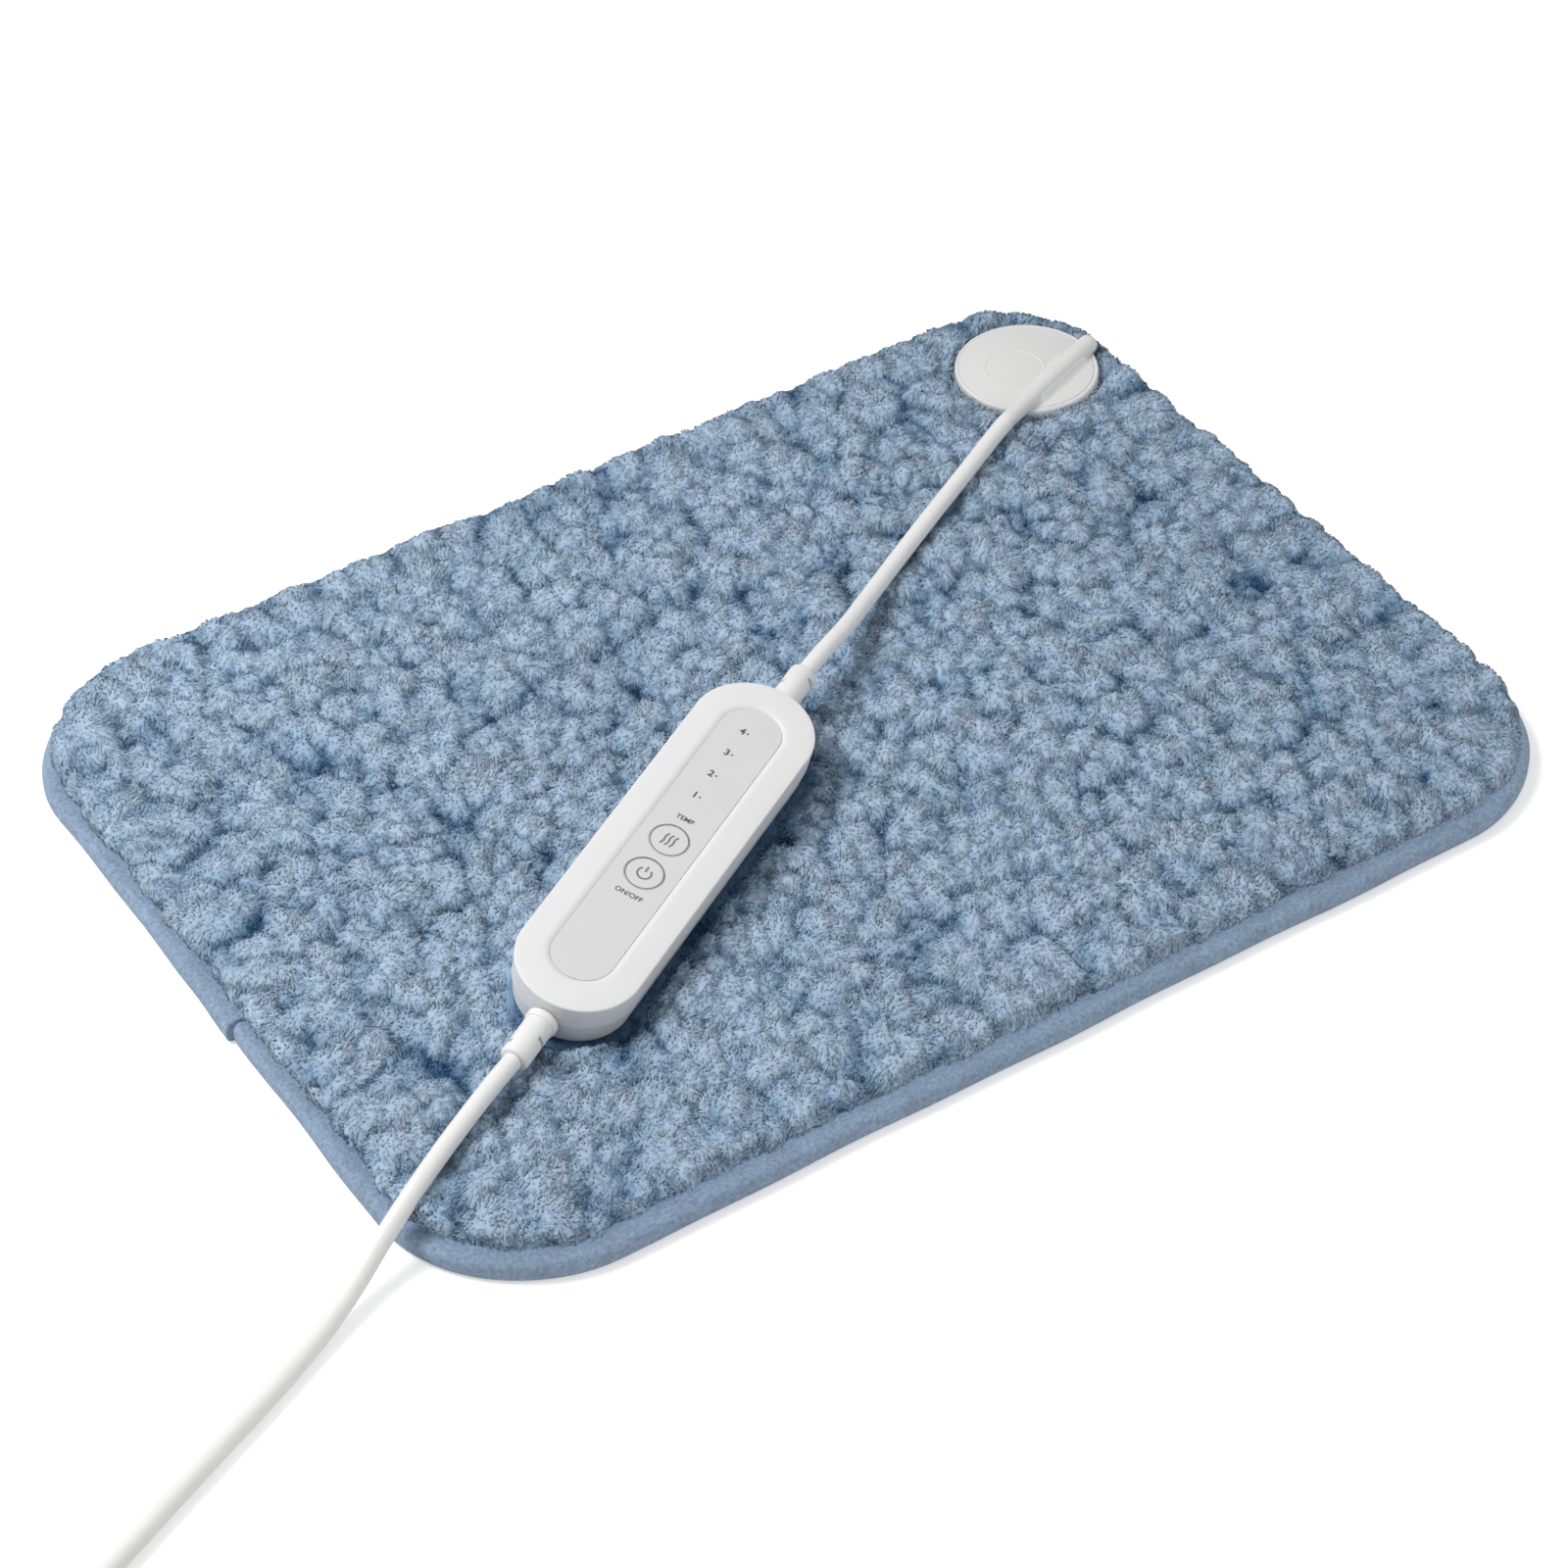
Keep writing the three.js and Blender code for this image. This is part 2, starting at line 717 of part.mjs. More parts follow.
// Saddle that holds the cord's inner end down on its ledge.
function cordClamp() {
  const cordTop = reliefAxisHeight + cordDiameter / 2;
  const ledgeTop = reliefAxisHeight - cordDiameter / 2 - clampLedgeDrop;
  const bottom = ledgeTop + fitGap;
  const top = cordTop + fitGap + clampBridge;
  return without(
    solidOf(block(clampLength, clampWidth, clampPlace, 0, bottom, top)),
    block(
      clampLength + cutOverrun, cordDiameter + fitGap * 2, clampPlace, 0,
      bottom - cutOverrun, cordTop + fitGap,
    ),
  );
}

function cordEnd() {
  const start = shellEnd - partingDraft - shellWall - reliefFlangeInset - reliefFlangeLength;
  return rail(
    cordDiameter / 2, start - fitGap - cordEndLength, start - fitGap, 0, reliefAxisHeight, pinSides,
  );
}

// Connector and socket

const connectorBaseBottom = socketTop + fitGap;
const connectorBaseTop = connectorBaseBottom + connectorBaseThickness;
const capBottom = connectorBaseTop + connectorSeam;
const capCeiling = connectorTop - connectorWall;
const socketFlangeBottom = coverBottom + coverClothThickness + fitGap;
const clampCoreTop = upperWaddingTop + clampCoreRise;
const pinPlaces = [-pinSpacing / 2, pinSpacing / 2];
const socketScrewPlaces = [-socketScrewSpread / 2, socketScrewSpread / 2];
const connectorScrewPlaces = [-connectorScrewX, connectorScrewX];
const spineAxisHeight = connectorTop + spineRise;

// The tapered sleeve on the connector's lead, grown by a gap for cuts.
function spineSleeve(gap) {
  const dome = spineThickRadius / 2;
  return turnedAlong([
    [0, -spineStart - gap],
    [spineThinRadius + gap, -spineStart - gap],
    [spineThickRadius + gap, spineEnd - spineThickRadius],
    [dome * Math.sqrt(3) + gap, spineEnd - dome],
    [dome + gap, spineEnd + gap / 2],
    [0, spineEnd + gap],
  ]).translate(0, -spineOffset, spineAxisHeight);
}

function connectorCap() {
  const inner = connectorRadius - connectorWall;
  const cap = turned([
    [0, capCeiling],
    [inner, capCeiling],
    [inner, capBottom],
    [connectorRadius, capBottom],
    [connectorRadius, connectorTop - connectorEdge],
    [connectorRadius - connectorEdge / 4, connectorTop - connectorEdge / 2],
    [connectorRadius - connectorEdge, connectorTop],
    [0, connectorTop],
  ]);
  const bedLength = 2 * Math.sqrt(inner ** 2 - (spineOffset + spineBedWidth / 2) ** 2);
  const bed = block(
    bedLength, spineBedWidth, 0, -spineOffset, capCeiling - spineBedDepth / 2, capCeiling + embed,
  );
  const half = embossWidth / 2;
  const ridge = turned([
    [embossRadius - half, connectorTop - embed],
    [embossRadius + half, connectorTop - embed],
    [embossRadius + half, connectorTop],
    [embossRadius, connectorTop + embossHeight],
    [embossRadius - half, connectorTop],
    [embossRadius - half, connectorTop - embed],
  ]).translate(-embossShift, embossShift, 0);
  const bosses = connectorScrewPlaces.map((x) =>
    post(connectorBossRadius, x, connectorScrewY, capBottom, capCeiling + embed, pinSides));
  const screwTop = connectorBaseBottom + screwHeadHeight + screwBite + fitGap;
  const holes = connectorScrewPlaces.map((x) =>
    post(screwHoleRadius, x, connectorScrewY, capBottom - cutOverrun, screwTop, thinSides));
  return without(joined(cap, bed, ridge, ...bosses), spineSleeve(fitGap), ...holes);
}

function connectorBase() {
  const chamfer = connectorBaseThickness / 2;
  const disc = turned([
    [0, connectorBaseBottom],
    [connectorRadius - chamfer, connectorBaseBottom],
    [connectorRadius, connectorBaseBottom + chamfer],
    [connectorRadius, connectorBaseTop],
    [0, connectorBaseTop],
  ]);
  const low = connectorBaseBottom - cutOverrun;
  const high = connectorBaseTop + cutOverrun;
  const headTop = connectorBaseBottom + screwHeadHeight + fitGap / 2;
  return without(
    solidOf(disc),
    ...pinPlaces.map((x) => post(pinRadius + fitGap, x, pinShift, low, high, pinSides)),
    ...connectorScrewPlaces.flatMap((x) => [
      post(screwHoleRadius, x, connectorScrewY, low, high, thinSides),
      post(screwHeadRadius + fitGap, x, connectorScrewY, low, headTop, pinSides),
    ]),
  );
}

const connectorContact = (x) => without(
  solidOf(post(contactRadius, x, pinShift, capBottom, capCeiling - fitGap, pinSides)),
  post(pinRadius + fitGap, x, pinShift, capBottom - cutOverrun, capCeiling, pinSides),
);

function socketBase() {
  const chamfer = fitGap;
  const disc = turned([
    [0, clampCoreTop + fitGap],
    [socketBossRadius, clampCoreTop + fitGap],
    [socketBossRadius, socketFlangeBottom],
    [socketRadius, socketFlangeBottom],
    [socketRadius, socketTop - chamfer],
    [socketRadius - chamfer, socketTop],
    [0, socketTop],
  ]);
  const screwTop = upperWaddingBottom + screwHeadHeight + screwBite + fitGap;
  return without(
    solidOf(disc),
    ...pinPlaces.map((x) =>
      post(pinRadius + fitGap, x, pinShift, 0, socketTop + cutOverrun, pinSides)),
    ...socketScrewPlaces.map((y) => post(screwHoleRadius, 0, y, 0, screwTop, thinSides)),
  );
}

function socketClampPlate() {
  const plate = turned([
    [0, upperWaddingBottom],
    [clampRadius, upperWaddingBottom],
    [clampRadius, upperWaddingTop],
    [clampCoreRadius, upperWaddingTop],
    [clampCoreRadius, clampCoreTop],
    [0, clampCoreTop],
  ]);
  const headTop = upperWaddingBottom + screwHeadHeight + fitGap;
  return without(
    solidOf(plate),
    ...pinPlaces.map((x) => post(pinRadius + fitGap, x, pinShift, 0, socketTop, pinSides)),
    ...socketScrewPlaces.flatMap((y) => [
      post(screwHoleRadius, 0, y, 0, socketTop, thinSides),
      post(screwHeadRadius + fitGap, 0, y, 0, headTop, pinSides),
    ]),
  );
}

// Placed on the pad, for what the plush and the wadding leave room for.
const socketCut = (radius, bottom, top) => post(radius, socketX, socketY, bottom, top, discSides);

// Pad layers

function backingCover() {
  return loft([
    padRing(tapeWidth + fitGap, 0),
    padRing(tapeWidth + fitGap, backingFlangeBottom),
    padRing(tapeThickness + fitGap, backingFlangeBottom),
    padRing(tapeThickness + fitGap, backingTop),
  ]);
}

// The edge tape, a bent strip whose two ends lap on one short side.
function edgeBinding() {
  const low = tapeThickness;
  const high = tapeHeight - tapeThickness;
  const profile = [
    [tapeWidth, 0], [tapeRound, 0], [tapeRound / 4, tapeRound / 3], [0, tapeRound],
    [0, tapeHeight - tapeRound], [tapeRound / 3, tapeHeight - tapeRound / 4],
    [tapeRound * 1.5, tapeHeight], [tapeWidth, tapeHeight - tapeThickness / 4],
    [tapeWidth, high], [tapeThickness, high], [tapeThickness, low], [tapeWidth, low],
  ];
  const stations = [];
  const lapTop = tapeLapPlace + tapeLapLength / 2;
  const lapBottom = tapeLapPlace - tapeLapLength / 2;
  padStations.forEach((station, place) => {
    const next = padStations[(place + 1) % padStations.length];
    stations.push({ ...station, lap: 0 });
    const onLeft = station.nx < -1 / 2 && next.nx < -1 / 2;
    [[lapTop, 0], [lapTop, 1], [lapBottom, 1], [lapBottom, 0]].forEach(([y, lap], order) => {
      if (onLeft && station.y > y && next.y <= y) {
        stations.push({ ...station, y: y - fitGap * (order % 2), lap });
      }
    });
  });
  const rings = profile.map(([inset, height], corner) => stations.map(
    ({ x, y, nx, ny, lap }) => new THREE.Vector3(
      x + nx * (padCornerRadius - inset),
      y + ny * (padCornerRadius - inset),
      height + (corner > 4 && corner < 7 ? lap * tapeLapRise : 0),
    ),
  ));
  return loft(rings, true);
}

const sheet = (inset, bottom, thickness) =>
  loft([padRing(inset, bottom), padRing(inset, bottom + thickness)]);

// The box cut in the upper wadding over the cut-out or the sensor.
const windowCut = (length, width, x, y) => block(
  length + fitGap * 2, width + fitGap * 2, x, y, 0, coverBottom,
);

const firstRunY = onConnector(-pinSpacing / 2, pinShift, 0).y;
const heatedWidth = firstRunY + padWidth / 2 - heatingSideMargin;
const heatingRuns = 2 * Math.floor((heatedWidth / heatingRunPitch + 1) / 2);
const partsY = firstRunY - heatingRunPitch * (partsRow + 1 / 2);

const upperWadding = () => without(
  solidOf(sheet(waddingInset, upperWaddingBottom, waddingThickness)),
  socketCut(clampRadius + fitGap, 0, coverBottom),
  windowCut(cutoutLength, cutoutWidth, cutoutX, partsY),
  windowCut(sensorLength, sensorDiameter, sensorX, partsY),
);

// The heating wire, from one socket pin through its runs and back to the other pin.
function heatingWire() {
  const height = wireBottom + heatingWireDiameter / 2;
  const start = onConnector(-pinSpacing / 2, pinShift, 0);
  const finishPin = onConnector(pinSpacing / 2, pinShift, 0);
  const bend = heatingRunPitch / 2;
  const points = [new THREE.Vector3(start.x, start.y, height)];
  for (let run = 0; run < heatingRuns; run += 1) {
    const y = start.y - run * heatingRunPitch;
    const side = run % 2 === 0 ? -1 : 1;
    const last = run === heatingRuns - 1;
    points.push(new THREE.Vector3(side * heatingRunEnd, y, height));
    for (let step = 1; !last && step < wireTurnSteps; step += 1) {
      const angle = Math.PI * (step / wireTurnSteps);
      points.push(new THREE.Vector3(
        side * (heatingRunEnd + bend * Math.sin(angle)), y - bend * (1 - Math.cos(angle)), height,
      ));
    }
    if (!last) points.push(new THREE.Vector3(side * heatingRunEnd, y - heatingRunPitch, height));
  }
  const lastY = points[points.length - 1].y;
  const laneRadius = finishPin.x - heatingRunEnd;
  for (let step = 1; step <= wireTurnSteps; step += 1) {
    const angle = quarterTurn * (step / wireTurnSteps);
    points.push(new THREE.Vector3(
      heatingRunEnd + laneRadius * Math.sin(angle), lastY + laneRadius * (1 - Math.cos(angle)),
      height,
    ));
  }
  points.push(new THREE.Vector3(finishPin.x, finishPin.y, height));
  const distinct = points.filter((point, place) =>
    place === 0 || point.distanceTo(points[place - 1]) > fitGap);
  return tube(new PointRoute(distinct), distinct.length - 1, heatingWireDiameter, thinSides);
}

const overheatCutout = () =>
  block(cutoutLength, cutoutWidth, cutoutX, partsY, wireBottom, upperWaddingTop);
const temperatureSensor = () => rail(
  sensorDiameter / 2, sensorX - sensorLength / 2, sensorX + sensorLength / 2,
  partsY, wireBottom + sensorDiameter / 2, pinSides,
);

// Height of the controller's underside above a point of the pad.
function undersideHeight(x, y) {
  const up = onController(0, 0, 1).sub(onController(0, 0, 0));
  return controllerLift - (up.x * (x - controllerX) + up.y * (y - controllerY)) / up.z;
}

// Height of the pile, with its crown and its fall to the edge.
function pileHeight(x, y) {
  const inset = padInset(x, y);
  const edge = pileEdgeDrop * Math.exp(-(inset - pileBoundary) / pileEdgeRun);
  const crown = pileCrown * (1 - Math.min(inset / pileCrownReach, 1)) ** 2;
  return plushHeight - edge - crown;
}

// The swell of the pile round the controller, which carries its raised side.
function seatSwell() {
  const turnAndPlace = new THREE.Matrix4()
    .makeRotationZ(toRadians(controllerTurn)).setPosition(controllerX, controllerY, 0);
  const ringFor = (share, heightAt) =>
    shellRing(-seatSwellReach * share, 0).map((corner) => {
      const { x, y } = corner.applyMatrix4(turnAndPlace);
      return new THREE.Vector3(x, y, heightAt(x, y));
    });
  const swollen = (share) => (x, y) => {
    const height = pileHeight(x, y);
    const near = 1 - THREE.MathUtils.smoothstep(share, 0, 1);
    return height - embed * share
      + near * Math.max(undersideHeight(x, y) + seatSwellLift - height, 0);
  };
  return loft([
    ringFor(1, () => coverBottom + coverClothThickness),
    ...seatSwellShares.map((share) => ringFor(share, swollen(share))),
  ]);
}

// Plush cover: a flange in the tape, then the pile with its crown and pressed seat.
function plushCover() {
  const skirt = tapeWidth + coverSkirtGap;
  const pileStart = tapeHeight + pileLift;
  const rings = [
    padRing(skirt + fitGap, coverBottom),
    padRing(skirt, backingTop + fitGap),
    padRing(tapeThickness + fitGap, backingTop + fitGap),
    padRing(tapeThickness + fitGap, coverFlangeTop),
    padRing(skirt, coverFlangeTop),
    padRing(skirt, tapeHeight),
    padRing(pileBoundary, pileStart),
  ];
  const raise = (ring) => ring.map(({ x, y }) => new THREE.Vector3(x, y, pileHeight(x, y)));
  const steps = [0, ...pileRingSteps];
  steps.forEach((step) => rings.push(raise(padRing(pileBoundary + step, 0))));
  const spine = padLength / 2 - padWidth / 2;
  const outer = rings[rings.length - 1];
  for (let ring = 1; ring <= pileInnerRings; ring += 1) {
    const share = pileInnerReachShare * (ring / pileInnerRings);
    rings.push(raise(outer.map(({ x, y }) => new THREE.Vector3(
      THREE.MathUtils.lerp(x, THREE.MathUtils.clamp(x, -spine, spine), share),
      THREE.MathUtils.lerp(y, 0, share),
      0,
    ))));
  }
  const clampRoom = socketCut(socketBossRadius + fitGap, 0, plushHeight);
  const flangeRoom = socketCut(
    connectorRadius + fitGap, socketFlangeBottom - fitGap, plushHeight + cutOverrun,
  );
  const controllerRoom = controllerEnvelope(fitGap).applyMatrix4(controllerFrame.matrixWorld);
  const reliefRoom = [-1, 1].map((side) => rail(
    reliefLipRadius + fitGap, 0, shellEnd + reliefLength + cutOverrun, 0, reliefAxisHeight,
  ).rotateZ(side > 0 ? 0 : Math.PI).applyMatrix4(controllerFrame.matrixWorld));
  const pile = joined(loft(rings), seatSwell());
  return without(pile, clampRoom, flangeRoom, controllerRoom, ...reliefRoom);
}

// Cords

const reliefTip = shellEnd + fitGap + reliefLength + fitGap;
const padCordStart = onController(reliefTip, 0, reliefAxisHeight);
const mainsCordStart = onController(-reliefTip, 0, reliefAxisHeight);
const padCordEnd = onConnector(-spineStart - fitGap, -spineOffset, spineAxisHeight);

// The lead from the controller to the connector, lying on the pile.
const padCordPoints = [
  padCordStart,
  new THREE.Vector3(14.7, 7.4, 27.35),
  new THREE.Vector3(22.3, 11.4, 26.9),
  new THREE.Vector3(30.8, 16.4, 25.3),
  new THREE.Vector3(38.9, 21.9, 23.3),
  new THREE.Vector3(47.2, 27.8, 21.4),
  new THREE.Vector3(55.8, 33.6, 19.9),
  new THREE.Vector3(64.6, 39.2, 19),
  new THREE.Vector3(73.8, 44.7, 18.5),
  new THREE.Vector3(84.1, 50.6, 18.4),
  new THREE.Vector3(94.6, 56.4, 18.4),
  new THREE.Vector3(105, 62.1, 18.4),
  new THREE.Vector3(115, 67.6, 18.4),
  new THREE.Vector3(124.2, 72.7, 18.4),
  new THREE.Vector3(132.4, 77.3, 18.3),
  padCordEnd,
];

// The free stretch of the mains lead: over the pile and the tape, down to the surface.
const mainsCordPoints = [
  mainsCordStart,
  new THREE.Vector3(-151.5, -84.2, 21),
  new THREE.Vector3(-161.4, -89, 20.1),
  new THREE.Vector3(-171.6, -94.1, 18.9),
  new THREE.Vector3(-180.8, -99.1, 18.1),
  new THREE.Vector3(-189.6, -103.9, 16.9),
  new THREE.Vector3(-197.4, -107.5, 14.2),
  new THREE.Vector3(-205.2, -110.9, 10.7),
  new THREE.Vector3(-213.9, -115.4, 7.2),
  new THREE.Vector3(-223.5, -120.5, 4.8),
  new THREE.Vector3(-234.3, -126, 3.4),
  new THREE.Vector3(-246.2, -131.8, 3),
  new THREE.Vector3(-260, -138.2, 3),
  new THREE.Vector3(-275, -144.8, 3),
  new THREE.Vector3(-291, -152, 3),
  new THREE.Vector3(-307, -159.3, 3),
  new THREE.Vector3(-322, -166.3, 3.1),
  new THREE.Vector3(-335, -172.6, 3.5),
];

// Points of the coil: it spirals in and out in turn and climbs where it reverses.
function coilPoints() {
  const turns = coilLayers * coilLayerTurns + (coilLayers - 1) * coilClimbTurns;
  const steps = Math.round(turns * coilStepsPerTurn);
  const layerSpan = coilLayerTurns + coilClimbTurns;
  const points = [];
  for (let step = 0; step <= steps; step += 1) {
    const turn = turns * (step / steps);
    const layer = Math.min(Math.floor(turn / layerSpan), coilLayers - 1);
    const within = turn - layer * layerSpan;
    const spiral = Math.min(within, coilLayerTurns);
    const climb = Math.max(within - coilLayerTurns, 0) / coilClimbTurns;
    const inward = layer % 2 === 0 ? spiral : coilLayerTurns - spiral;
    const radius = coilOuterRadius - coilPitch * inward;
    const angle = toRadians(coilStartAngle) + fullTurn * turn;
    points.push(new THREE.Vector3(
      coilX + radius * Math.cos(angle),
      coilY + radius * Math.sin(angle),
      coilLift + coilLayerHeight * (layer + THREE.MathUtils.smoothstep(climb, 0, 1)),
    ));
  }
  return points;
}

// Direction of travel at either end of the coil, level and square to its radius.
const tangentAt = (point) => new THREE.Vector3(coilY - point.y, point.x - coilX, 0).normalize();
const coilCurve = coilPoints();
const coilFirst = coilCurve[0];
const coilLast = coilCurve[coilCurve.length - 1];
const coilIn = tangentAt(coilFirst);
const coilOut = tangentAt(coilLast);
const along = (point, direction, distance) => point.clone().addScaledVector(direction, distance);
const coilEntry = along(coilFirst, coilIn, -cordDiameter);
const coilExit = along(coilLast, coilOut, cordDiameter);
const coilRoute = [coilEntry, ...coilCurve, coilExit];
mainsCordPoints.push(
  along(coilEntry, coilIn, -fitGap - cordDiameter),
  along(coilEntry, coilIn, -fitGap),
);

// The least gap between turns of the coil, measured on its points.
function leastCoilGap() {
  const apart = Math.round(coilStepsPerTurn * coilNeighbourTurns);
  let least = Infinity;
  coilCurve.forEach((point, place) => {
    for (let other = place + apart; other < coilCurve.length; other += 1) {
      least = Math.min(least, point.distanceTo(coilCurve[other]));
    }
  });
  return least - cordDiameter;
}
console.log(`least gap between turns of the coil ${leastCoilGap().toFixed(2)} mm`);

// The tail runs from the top of the coil down to the plug beside it. Its points are
// pairs of distance along the way out of the coil and height above the surface.
const tailPlaces = [
  [0, 23.4], [5, 23.4], [12, 23.2], [20, 22.5], [28, 20.8], [36, 18],
  [44, 14.8], [52, 11.8], [60, 9.2], [67, 7.5], [74, 6.9],
];
const tailStart = along(coilExit, coilOut, fitGap);
const tailPoints = tailPlaces.map(([distance, height]) => {
  const point = along(tailStart, coilOut, distance);
  return new THREE.Vector3(point.x, point.y, height);
});
const plugEntry = along(tailPoints[tailPoints.length - 1], coilOut, cordDiameter);
plugEntry.z = plugLift;
tailPoints.push(plugEntry);

// A flat strap round the bundle of turns.
function coilTie() {
  const inner = coilOuterRadius - coilPitch * coilLayerTurns - cordDiameter / 2 - tieGap;
  const outer = coilOuterRadius + cordDiameter / 2 + tieGap;
  const low = coilLift - cordDiameter / 2 - fitGap;
  const high = coilLift + coilLayerHeight * (coilLayers - 1) + cordDiameter / 2 + tieGap;
  const frame = (grow) => [
    new THREE.Vector2(inner - grow, low - grow), new THREE.Vector2(outer + grow, low - grow),
    new THREE.Vector2(outer + grow, high + grow), new THREE.Vector2(inner - grow, high + grow),
  ];
  const band = new THREE.Shape(frame(tieThickness));
  band.holes.push(new THREE.Path(frame(0).reverse()));
  return new THREE.ExtrudeGeometry(band, { depth: tieWidth, bevelEnabled: false })
    .translate(0, 0, -tieWidth / 2).rotateX(quarterTurn).rotateZ(toRadians(tieAngle))
    .translate(coilX, coilY, 0);
}

// Two-pin plug with its moulded sleeve, in its own frame along the cord.
const plugFrame = new THREE.Group();
plugFrame.position.copy(along(plugEntry, coilOut, fitGap));
plugFrame.rotation.z = Math.atan2(coilOut.y, coilOut.x);
const plugFace = plugReliefLength + plugBodyLength;

function plugBody() {
  const section = (x, width, thickness, shareRound) => {
    const round = (thickness / 2) * shareRound;
    return outlineStations(width, thickness, round, 1, 1, roundSteps).map((station) =>
      new THREE.Vector3(
        station.x + station.nx * round, station.y + station.ny * round, x,
      ));
  };
  const sleeve = cordDiameter + 2;
  const neck = plugThickness * 0.8;
  const body = loft([
    section(0, sleeve, sleeve * 0.98, 0.99),
    section(plugReliefLength, neck, neck * 0.98, 0.99),
    section(plugReliefLength + plugBodyLength / 3, plugWidth * 0.66, plugThickness * 0.96, 0.9),
    section(plugFace - plugBodyLength / 4, plugWidth, plugThickness, 0.8),
    section(plugFace, plugWidth * 0.96, plugThickness * 0.96, 0.8),
  ]).rotateZ(quarterTurn).rotateY(quarterTurn);
  const holes = [-1, 1].map((side) => rail(
    plugPinDiameter / 2 + fitGap, plugFace - plugPinSink - fitGap, plugFace + cutOverrun,
    side * plugPinSpacing / 2, 0, pinSides,
  ));
  return without(solidOf(body), ...holes);
}

function plugPin(side) {
  const tip = plugPinDiameter / 4;
  const radius = plugPinDiameter / 2;
  return turnedAlong([
    [0, plugFace - plugPinSink], [radius, plugFace - plugPinSink],
    [radius, plugFace + plugPinLength - tip], [radius - tip, plugFace + plugPinLength],
    [0, plugFace + plugPinLength],
  ], pinSides).translate(0, side * plugPinSpacing / 2, 0);
}

// The assembly

const heatingPad = new THREE.Group();
heatingPad.add(controllerFrame, connectorFrame, plugFrame);

// Adds one named piece, made from a geometry or a closed solid, to its frame.
function place(frame, name, material, shape) {
  const geometry = shape.isBufferGeometry ? shape : geometryOf(shape);
  const piece = new THREE.Mesh(geometry, material);
  piece.name = name;
  frame.add(piece);
}

// Turned half a turn about the vertical, for the piece at the other end.
const otherEnd = (solid) => geometryOf(solid).rotateZ(Math.PI);

place(heatingPad, 'backing_cover', finishes.backing, backingCover());
place(heatingPad, 'edge_binding', finishes.tape, edgeBinding());
place(heatingPad, 'lower_wadding', finishes.wadding,
  sheet(waddingInset, lowerWaddingBottom, waddingThickness));
place(heatingPad, 'heater_carrier', finishes.carrier,
  sheet(carrierInset, carrierBottom, carrierThickness));
place(heatingPad, 'heating_wire', finishes.silicone, heatingWire());
place(heatingPad, 'overheat_cutout', finishes.darkPlastic, overheatCutout());
place(heatingPad, 'temperature_sensor', finishes.glass, temperatureSensor());
place(heatingPad, 'upper_wadding', finishes.wadding, upperWadding());
place(heatingPad, 'plush_cover', finishes.plush, plushCover());

place(connectorFrame, 'socket_base', finishes.white, socketBase());
place(connectorFrame, 'socket_clamp_plate', finishes.white, socketClampPlate());
pinPlaces.forEach((x, order) => {
  place(connectorFrame, `socket_pin_${order + 1}`, finishes.brass,
    post(pinRadius, x, pinShift, upperWaddingBottom, pinHeight, pinSides));
  place(connectorFrame, `connector_contact_${order + 1}`, finishes.brass, connectorContact(x));
});
socketScrewPlaces.forEach((y, order) => {
  const top = upperWaddingBottom + screwHeadHeight + screwBite;
  place(connectorFrame, `socket_screw_${order + 1}`, finishes.steel,
    screw(0, y, upperWaddingBottom, screwHeadHeight, top));
});
place(connectorFrame, 'connector_base', finishes.white, connectorBase());
place(connectorFrame, 'connector_cap', finishes.white, connectorCap());
place(connectorFrame, 'connector_strain_relief', finishes.cord, spineSleeve(0));
connectorScrewPlaces.forEach((x, order) => {
  const top = connectorBaseBottom + screwHeadHeight + screwBite;
  place(connectorFrame, `connector_screw_${order + 1}`, finishes.steel,
    screw(x, connectorScrewY, connectorBaseBottom, screwHeadHeight - embed / 2, top));
});

place(controllerFrame, 'controller_bottom_shell', finishes.white, controllerBottomShell());
place(controllerFrame, 'controller_top_shell', finishes.white, controllerTopShell());
place(controllerFrame, 'control_panel', finishes.panel, controlPanel());
place(controllerFrame, 'circuit_board', finishes.board,
  block(boardLength, boardWidth, 0, 0, boardBottom, boardTop));
['power', 'temperature'].forEach((use, order) => {
  const x = buttonPlaces[order];
  place(controllerFrame, `${use}_button`, finishes.panel, pushButton(x));
  place(controllerFrame, `tact_switch_${use}`, finishes.darkPlastic, switchBody(x));
  place(controllerFrame, `tact_plunger_${use}`, finishes.white, switchPlunger(x));
});
lightPlaces.forEach((x, order) => {
  place(controllerFrame, `step_light_${order + 1}`, finishes.lamp, block(
    lightChipLength, lightChipWidth, x, lightOffset, switchBottom, switchBottom + lightChipHeight,
  ));
});
place(controllerFrame, 'light_guide', finishes.clear, lightGuide());
place(controllerFrame, 'mains_fuse', finishes.glass,
  rail(fuseRadius, fuseX - fuseLength / 2, fuseX + fuseLength / 2, fuseY, underBoard - fuseRadius));
place(controllerFrame, 'filter_capacitor', finishes.silicone, block(
  capacitorLength, capacitorWidth, capacitorX, capacitorY, underBoard - capacitorHeight, underBoard,
));
place(controllerFrame, 'heater_triac', finishes.darkPlastic, block(
  triacLength, triacWidth, triacX, triacY, underBoard - triacHeight, underBoard,
));
['mains', 'pad'].forEach((use, order) => {
  const side = order === 0 ? -1 : 1;
  const atEnd = (solid) => (side < 0 ? otherEnd(solid) : solid);
  place(controllerFrame, `${use}_terminal`, finishes.darkPlastic, block(
    terminalLength, terminalWidth, side * terminalPlace, 0, underBoard - terminalHeight, underBoard,
  ));
  place(controllerFrame, `${use}_strain_relief`, finishes.cord, atEnd(strainRelief()));
  place(controllerFrame, `${use}_cord_end`, finishes.cord, atEnd(solidOf(cordEnd())));
  place(controllerFrame, `${use}_cord_clamp`, finishes.white, atEnd(cordClamp()));
});
